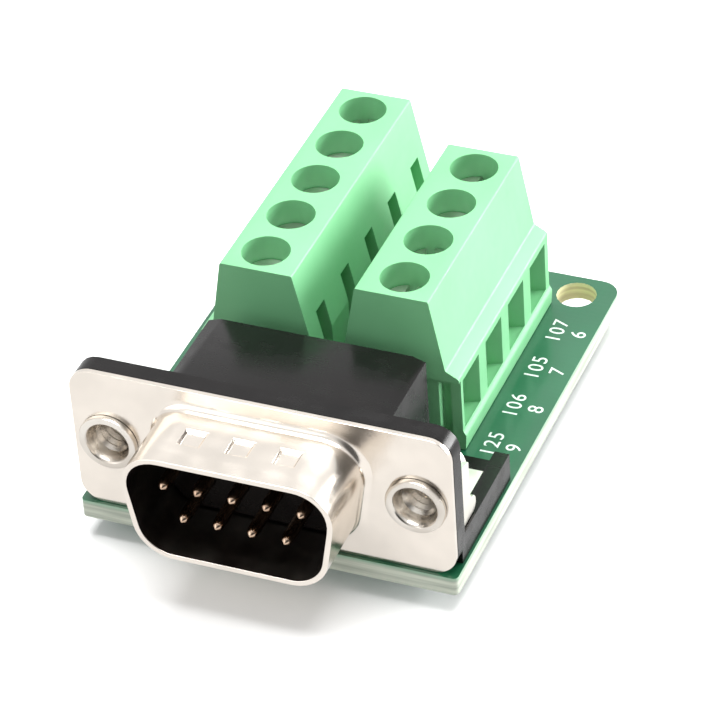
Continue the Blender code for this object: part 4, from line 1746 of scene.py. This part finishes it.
@dataclass
class Studio:
    """The camera, the lamps and the pale floor."""

    camera_at: Triple = (0.099408, -0.218285, 0.191338)
    camera_aim: Triple = (-0.001355, 0.006095, 0.0035)
    camera_roll: float = math.radians(-4.158)
    lens: float = 192.98
    near: float = 0.01
    lamp_aim: Triple = (0.0, 0.0, 0.006)
    lamps: tuple[Lamp, ...] = (
        Lamp("overhead", at=(0.0, 0.08, 0.55), side=0.45, power=5.0),
        Lamp("right_key", at=(0.46, 0.36, 0.13), side=0.35, power=6.6),
        Lamp("front_fill", at=(-0.35, -0.4, 0.25), side=0.4, power=0.65),
    )
    floor_size: float = 4.0
    floor_gap: float = 0.05 * MM
    floor_tone: float = 0.45
    floor_seen: float = 0.95
    floor_mirrored: float = 0.2
    floor_glow: float = 0.72
    fibre_scale: float = 900.0
    fibre_depth: float = 0.01 * MM
    ambient: float = 0.65
    mirrored: float = 1.0
    dark_patch: float = 0.1
    dark_way: Triple = (0.66, -0.74, 0.1)
    dark_from: float = 0.55
    dark_whole: float = 0.88

    def build(self) -> None:
        """Builds the whole studio."""
        self.place_camera()
        self.lay_floor()
        self.light_world()
        for lamp in self.lamps:
            lamp.hang(self.lamp_aim)

    def place_camera(self) -> None:
        """Stands the camera where the photograph was taken from."""
        lens = bpy.data.cameras.new("camera")
        lens.lens = self.lens
        lens.clip_start = self.near
        camera = bpy.data.objects.new("camera", lens)
        bpy.context.scene.collection.objects.link(camera)
        look = (Vector(self.camera_aim) - Vector(self.camera_at)).to_track_quat("-Z", "Y")
        roll = Matrix.Rotation(self.camera_roll, 4, "Z")
        camera.matrix_world = Matrix.Translation(self.camera_at) @ look.to_matrix().to_4x4() @ roll
        bpy.context.scene.camera = camera
        bpy.context.scene.view_settings.view_transform = "Standard"

    def lay_floor(self) -> None:
        """Lays the pale floor under the lowest lead."""
        bpy.ops.object.select_all(action="DESELECT")
        height = PACKED_BOUNDS[0][2] - self.floor_gap
        bpy.ops.mesh.primitive_plane_add(size=self.floor_size, location=(0.0, 0.0, height))
        floor = added("floor")
        paper = Finish("floor_paper")
        tree = paper.tree
        path = wired(tree, "ShaderNodeLightPath", {})
        tone = spread(tree, path.outputs["Is Camera Ray"], self.floor_tone, self.floor_seen)
        mirrored = path.outputs["Is Glossy Ray"]
        tone = wired(tree, "ShaderNodeMix", {0: mirrored, 2: tone, 3: self.floor_mirrored}).outputs[0]
        material = paper.done(
            {
                "Base Color": tone,
                "Emission Strength": spread(tree, mirrored, 0.0, self.floor_glow),
                "Normal": paper.grain(self.fibre_scale, self.fibre_depth),
                "Roughness": 1.0,
                "Specular IOR Level": 0.0,
            }
        )
        floor.data.materials.append(material)

    def light_world(self) -> None:
        """Makes the world white to the camera, dim to the rest, and dark on one side in mirrors."""
        world = bpy.data.worlds.new("studio")
        bpy.context.scene.world = world
        world.use_nodes = True
        tree = world.node_tree
        path = wired(tree, "ShaderNodeLightPath", {})
        way = wired(tree, "ShaderNodeTexCoord", {}).outputs["Generated"]
        ways = {0: way, 1: self.dark_way}
        facing = wired(tree, "ShaderNodeVectorMath", ways, operation="DOT_PRODUCT").outputs["Value"]
        soft = {"interpolation_type": "SMOOTHSTEP"}
        patch = narrowed(tree, facing, self.dark_from, self.dark_whole, **soft)
        mirrored = spread(tree, patch, self.mirrored, self.dark_patch)
        seen = [(path.outputs["Is Glossy Ray"], mirrored), (path.outputs["Is Camera Ray"], 1.0)]
        strength = self.ambient
        for mask, value in seen:
            strength = wired(tree, "ShaderNodeMix", {0: mask, 2: strength, 3: value}).outputs[0]
        background = tree.nodes["Background"]
        background.inputs["Color"].default_value = (1.0, 1.0, 1.0, 1.0)
        tree.links.new(strength, background.inputs["Strength"])


def main() -> None:
    """Builds the adapter's looks in order."""
    logging.basicConfig(level=logging.INFO, format="%(message)s")
    Studio().build()
    palette = Palette()
    for assembly in (Board, PlugShell, Insulator, PlugPins, Inserts, Straps, Terminals):
        LOG.info("%s", assembly.__name__)
        assembly(palette).build()


if __name__ == "__main__":
    main()
